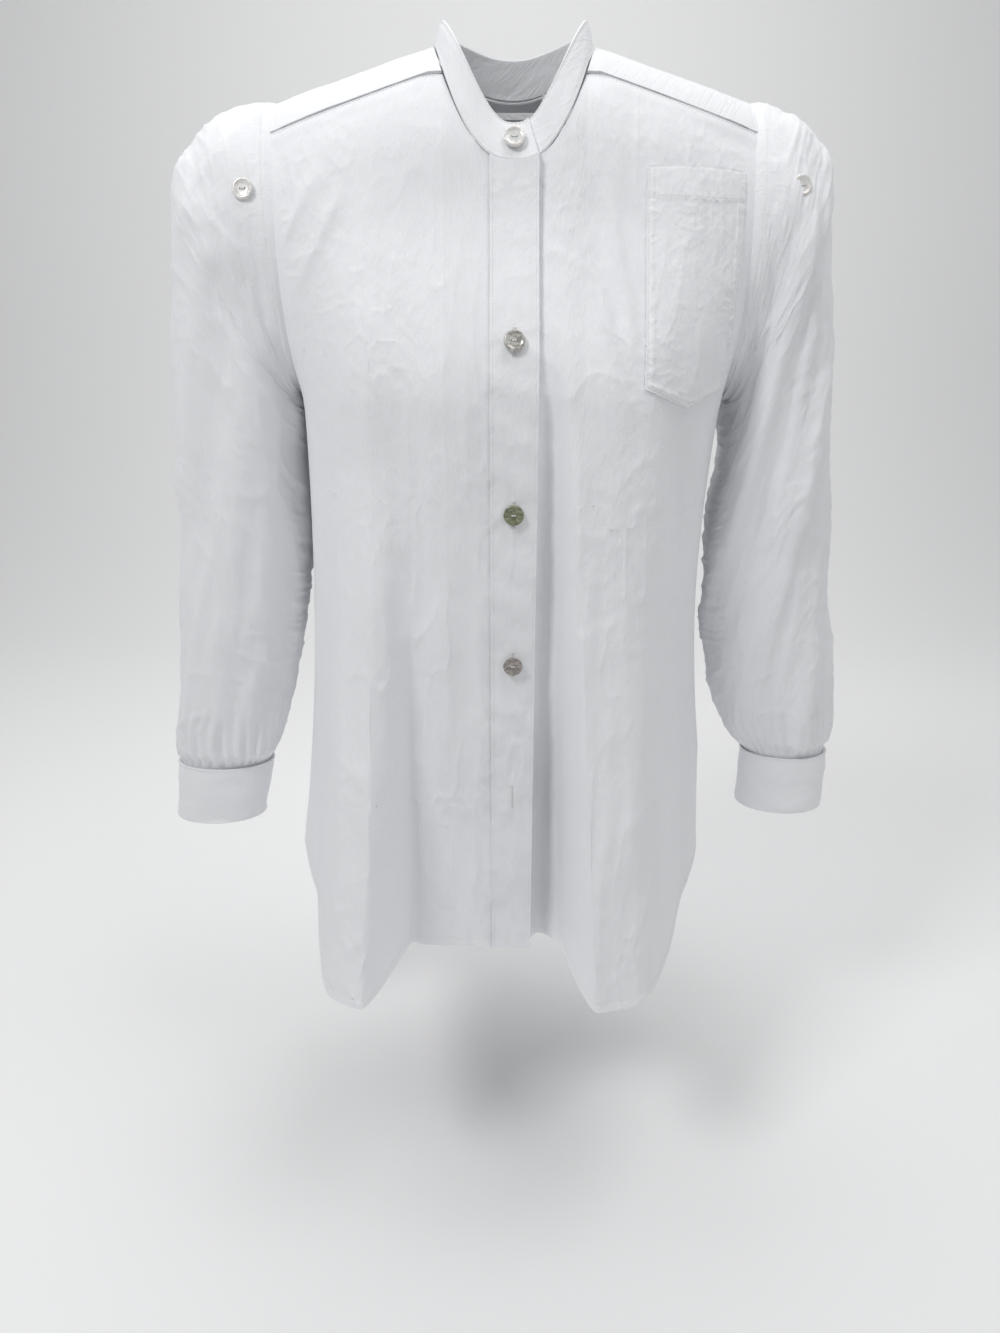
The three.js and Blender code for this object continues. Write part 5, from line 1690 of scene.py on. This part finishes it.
class Buttons:
    """All nine buttons with their thread."""

    FINISHES = {
        "front_button_1": Finish.CLEAR_SHELL, "front_button_2": Finish.GREEN_SHELL,
        "front_button_3": Finish.PINK_SHELL, "front_button_4": Finish.GREY_SHELL,
        "neck_button": Finish.GREY_SHELL, "right_cuff_button": Finish.GREY_SHELL,
        "left_cuff_button": Finish.GREY_SHELL, "right_tab_button": Finish.GREY_SHELL,
        "left_tab_button": Finish.GREY_SHELL,
    }

    def __init__(self) -> None:
        """Makes the button's shape once."""
        self.shape = Button()
        self.disc = self.shape.disc()

    def build(self) -> None:
        """Puts every button and its thread in place."""
        for name, finish in self.FINISHES.items():
            point, outward = node_frame(name)
            place = seat_matrix(point, outward)
            bind = riding(f"{name}_body")
            mesh = self.disc.copy()
            mesh.transform(Matrix.Diagonal((MM, MM, MM, 1)) @ place)
            smooth_shaded(mesh, 40)
            put_on(WARDROBE.dress(linked(f"{name}_shell", mesh), finish), bind, name)
            thread = WARDROBE.dress(self.thread(name, place), Finish.THREAD)
            put_on(thread, bind, f"{name}_thread")

    def thread(self, name: str, place: Matrix) -> bpy.types.Object:
        """A wound shank under the button and strands over the bar between its holes."""
        points = np.array([v.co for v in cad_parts[f"{name}_thread"].data.vertices], float) / MM
        move = np.array(place)
        along = (points - move[:3, 3]) @ move[:3, 2]
        foot, face = along.min() + 0.1, self.shape.thickness - 0.74
        solid = Solid()
        turns = np.linspace(0, 1, 60)
        coil = np.stack([
            0.62 * np.cos(2 * np.pi * 7 * turns), 0.62 * np.sin(2 * np.pi * 7 * turns), mix(foot, -0.2, turns)
        ], axis=-1)
        solid.tube(coil, 0.3, 6)
        solid.tube(np.array([[0, 0, foot], [0, 0, foot / 2], [0, 0, -0.05]]), 0.6, 10)
        half = self.shape.hole_spacing / 2
        for offset in (-0.42, -0.14, 0.14, 0.42):
            arc = np.linspace(0, np.pi, 15)
            path = np.stack([
                -half * np.cos(arc), offset + 0 * arc, face + 0.1 + 0.42 * np.sin(arc) ** 0.6
            ], axis=-1)
            drop = path[[0, -1]] - np.array([0, 0, face + 0.2])
            path = np.concatenate([drop[:1], path, drop[1:]])
            solid.tube(path, 0.2, 6)
        return solid.piece(f"{name}_thread_strands", place)


class Trims:
    """The hanging loop and the blank label inside the back neck."""

    def build(self) -> None:
        """Makes both."""
        self.label()
        self.loop()

    @staticmethod
    def label() -> None:
        """A blank woven label, stitched along its two short sides."""
        u = np.linspace(-0.5, 0.5, 50)[None, :]
        v = np.linspace(0, 1, 26)[:, None]
        x = 50.0 * u + 0 * v
        turn = SHAPE.turn_at(mix(24.0, 46.0, v)) + 0 * u
        face = Sheet(SHAPE.over_shoulder(x, turn), 0.5, BODY_MIDDLE)
        lift = -2 * SHAPE.cloth - SHAPE.gap - 2.2 + 0.25 * CREASES.noise.smooth(x / 12, turn * 30)
        sheet = face.raised(lift)
        bind = riding("trunk")
        cloth(sheet, "neck_label_cloth", Finish.LABEL, bind, "laid", "neck_label")
        lines = [line_on(sheet, (x, 0.04), (x, 0.96)) for x in (0.03, 0.97)]
        put_on(TOP_STITCH.sew("neck_label_stitches", lines), bind)

    @staticmethod
    def loop() -> None:
        """A flat tape that runs down, across and up again between its two sewn ends."""
        low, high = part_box("hang_loop")
        half, drop, width, bend = 27.5, (high.z - low.z) / MM - 2.5, 5.0, 8.0
        corner = np.linspace(0, np.pi / 2, 14)
        right = np.stack([half - bend + bend * np.cos(corner), -drop + bend - bend * np.sin(corner)], axis=-1)
        left = right[::-1] * np.array([-1, 1])
        path = np.concatenate([
            np.stack([np.full(8, half), np.linspace(0, -drop + bend, 8)], axis=-1)[:-1], right, left,
            np.stack([np.full(8, -half), np.linspace(-drop + bend, 0, 8)], axis=-1)[1:],
        ])
        ahead = unit(np.gradient(path, axis=0))
        side = np.stack([-ahead[:, 1], ahead[:, 0]], axis=-1)
        offsets = np.linspace(-width / 2, width / 2, 9)
        flat = path[None] + offsets[:, None, None] * side[None]
        y = np.full(flat.shape[:2], (low.y + high.y) / 2 / MM - 0.5)
        points = np.stack([flat[..., 0], y, flat[..., 1] + high.z / MM], axis=-1)
        sheet = Sheet(points, 1.0, (0.0, 80.0, -24.0))
        piece = WARDROBE.dress(sheet.mesh("hang_loop_tape"), Finish.TAPE)
        put_on(piece, riding("hang_loop_body"), "hang_loop")


# ---- The studio ----


class Studio:
    """Pale floor and backdrop, soft light from above and the camera."""

    FLOOR = -1.02
    SKY, SKY_STRENGTH = (0.93, 0.94, 0.955, 1), 0.37
    LIGHTS = (  # name, place, aim, size in metres, power in watts
        ("key", (-1.0, -0.95, 1.15), (0, -0.1, -0.3), 0.5, 14.5),
        ("top", (0.5, -0.35, 1.3), (0, 0, -0.2), 0.8, 6.5),
        ("fill", (1.7, -1.5, 0.2), (0, 0, -0.4), 1.4, 3.0),
        ("behind", (0.0, 0.75, 1.7), (0, 1.9, -0.5), 2.2, 22.0),
    )

    def build(self) -> None:
        """Sets up floor, light and camera."""
        self.floor()
        for light in self.LIGHTS:
            self.light(*light)
        world = bpy.data.worlds.new("studio")
        bpy.context.scene.world = world
        world.use_nodes = True
        background = world.node_tree.nodes["Background"]
        background.inputs["Color"].default_value = self.SKY
        background.inputs["Strength"].default_value = self.SKY_STRENGTH
        bpy.context.scene.view_settings.view_transform = "Standard"
        self.camera()

    def floor(self) -> None:
        """A floor that sweeps up into the backdrop."""
        sweep = np.linspace(0, np.pi / 2, 20)
        profile = np.concatenate([
            [[-4.0, self.FLOOR]],
            np.stack([1.6 + 1.2 * np.sin(sweep), self.FLOOR + 1.2 * (1 - np.cos(sweep))], axis=-1),
            [[2.8, 4.0]],
        ])
        xs = np.array([-5.0, 5.0])
        vertices = np.array([[x, y, z] for y, z in profile for x in xs])
        rows = np.arange(len(profile) - 1)
        faces = np.stack([2 * rows, 2 * rows + 1, 2 * rows + 3, 2 * rows + 2], axis=-1)
        sheet = new_mesh("floor", vertices, faces)
        s = Shader("backdrop")
        tone = s.noise(s.place(), 1.2)
        sheet.data.materials.append(
            s.finish(Base_Color=s.blend(tone, (0.955, 0.955, 0.955), (0.97, 0.97, 0.97)), Roughness=0.9)
        )

    @staticmethod
    def light(name: str, place: Sequence[float], aim: Sequence[float], size: float, power: float) -> None:
        """A square area light aimed at a place."""
        lamp = bpy.data.lights.new(name, "AREA")
        lamp.size, lamp.energy = size, power
        holder = linked(name, lamp)
        holder.location = place
        holder.rotation_euler = (Vector(aim) - Vector(place)).to_track_quat("-Z", "Y").to_euler()

    @staticmethod
    def camera() -> None:
        """A camera a little above chest height, in front of the gown and tilted down 20 degrees."""
        lens = bpy.data.cameras.new("camera")
        lens.lens, lens.sensor_width = 20.8, 36.0
        lens.sensor_fit = "AUTO"
        lens.clip_start = 0.01
        holder = linked("camera", lens)
        holder.location = (-0.0105, -0.730, -0.245)
        holder.rotation_euler = (math.radians(70), 0, 0)
        bpy.context.scene.camera = holder


def main() -> None:
    """Builds the gown and the studio; each piece's face count is logged as it is fixed."""
    logging.basicConfig(level=logging.INFO, format="%(name)s: %(message)s")
    right, left = Front(RIGHT), Front(LEFT)
    right.build()
    left.build()
    Pocket(left).build()
    Back().build()
    Yoke().build()
    CollarBand().build()
    for half in (RIGHT, LEFT):
        sleeve = Sleeve(half)
        sleeve.build()
        bind = riding(f"{half.name}_sleeve_body")
        put_on(TOP_STITCH.sew(f"{half.name}_tab_anchor", sleeve.anchor_lines), bind)
    Buttons().build()
    Trims().build()
    Studio().build()


if __name__ == "__main__":
    main()
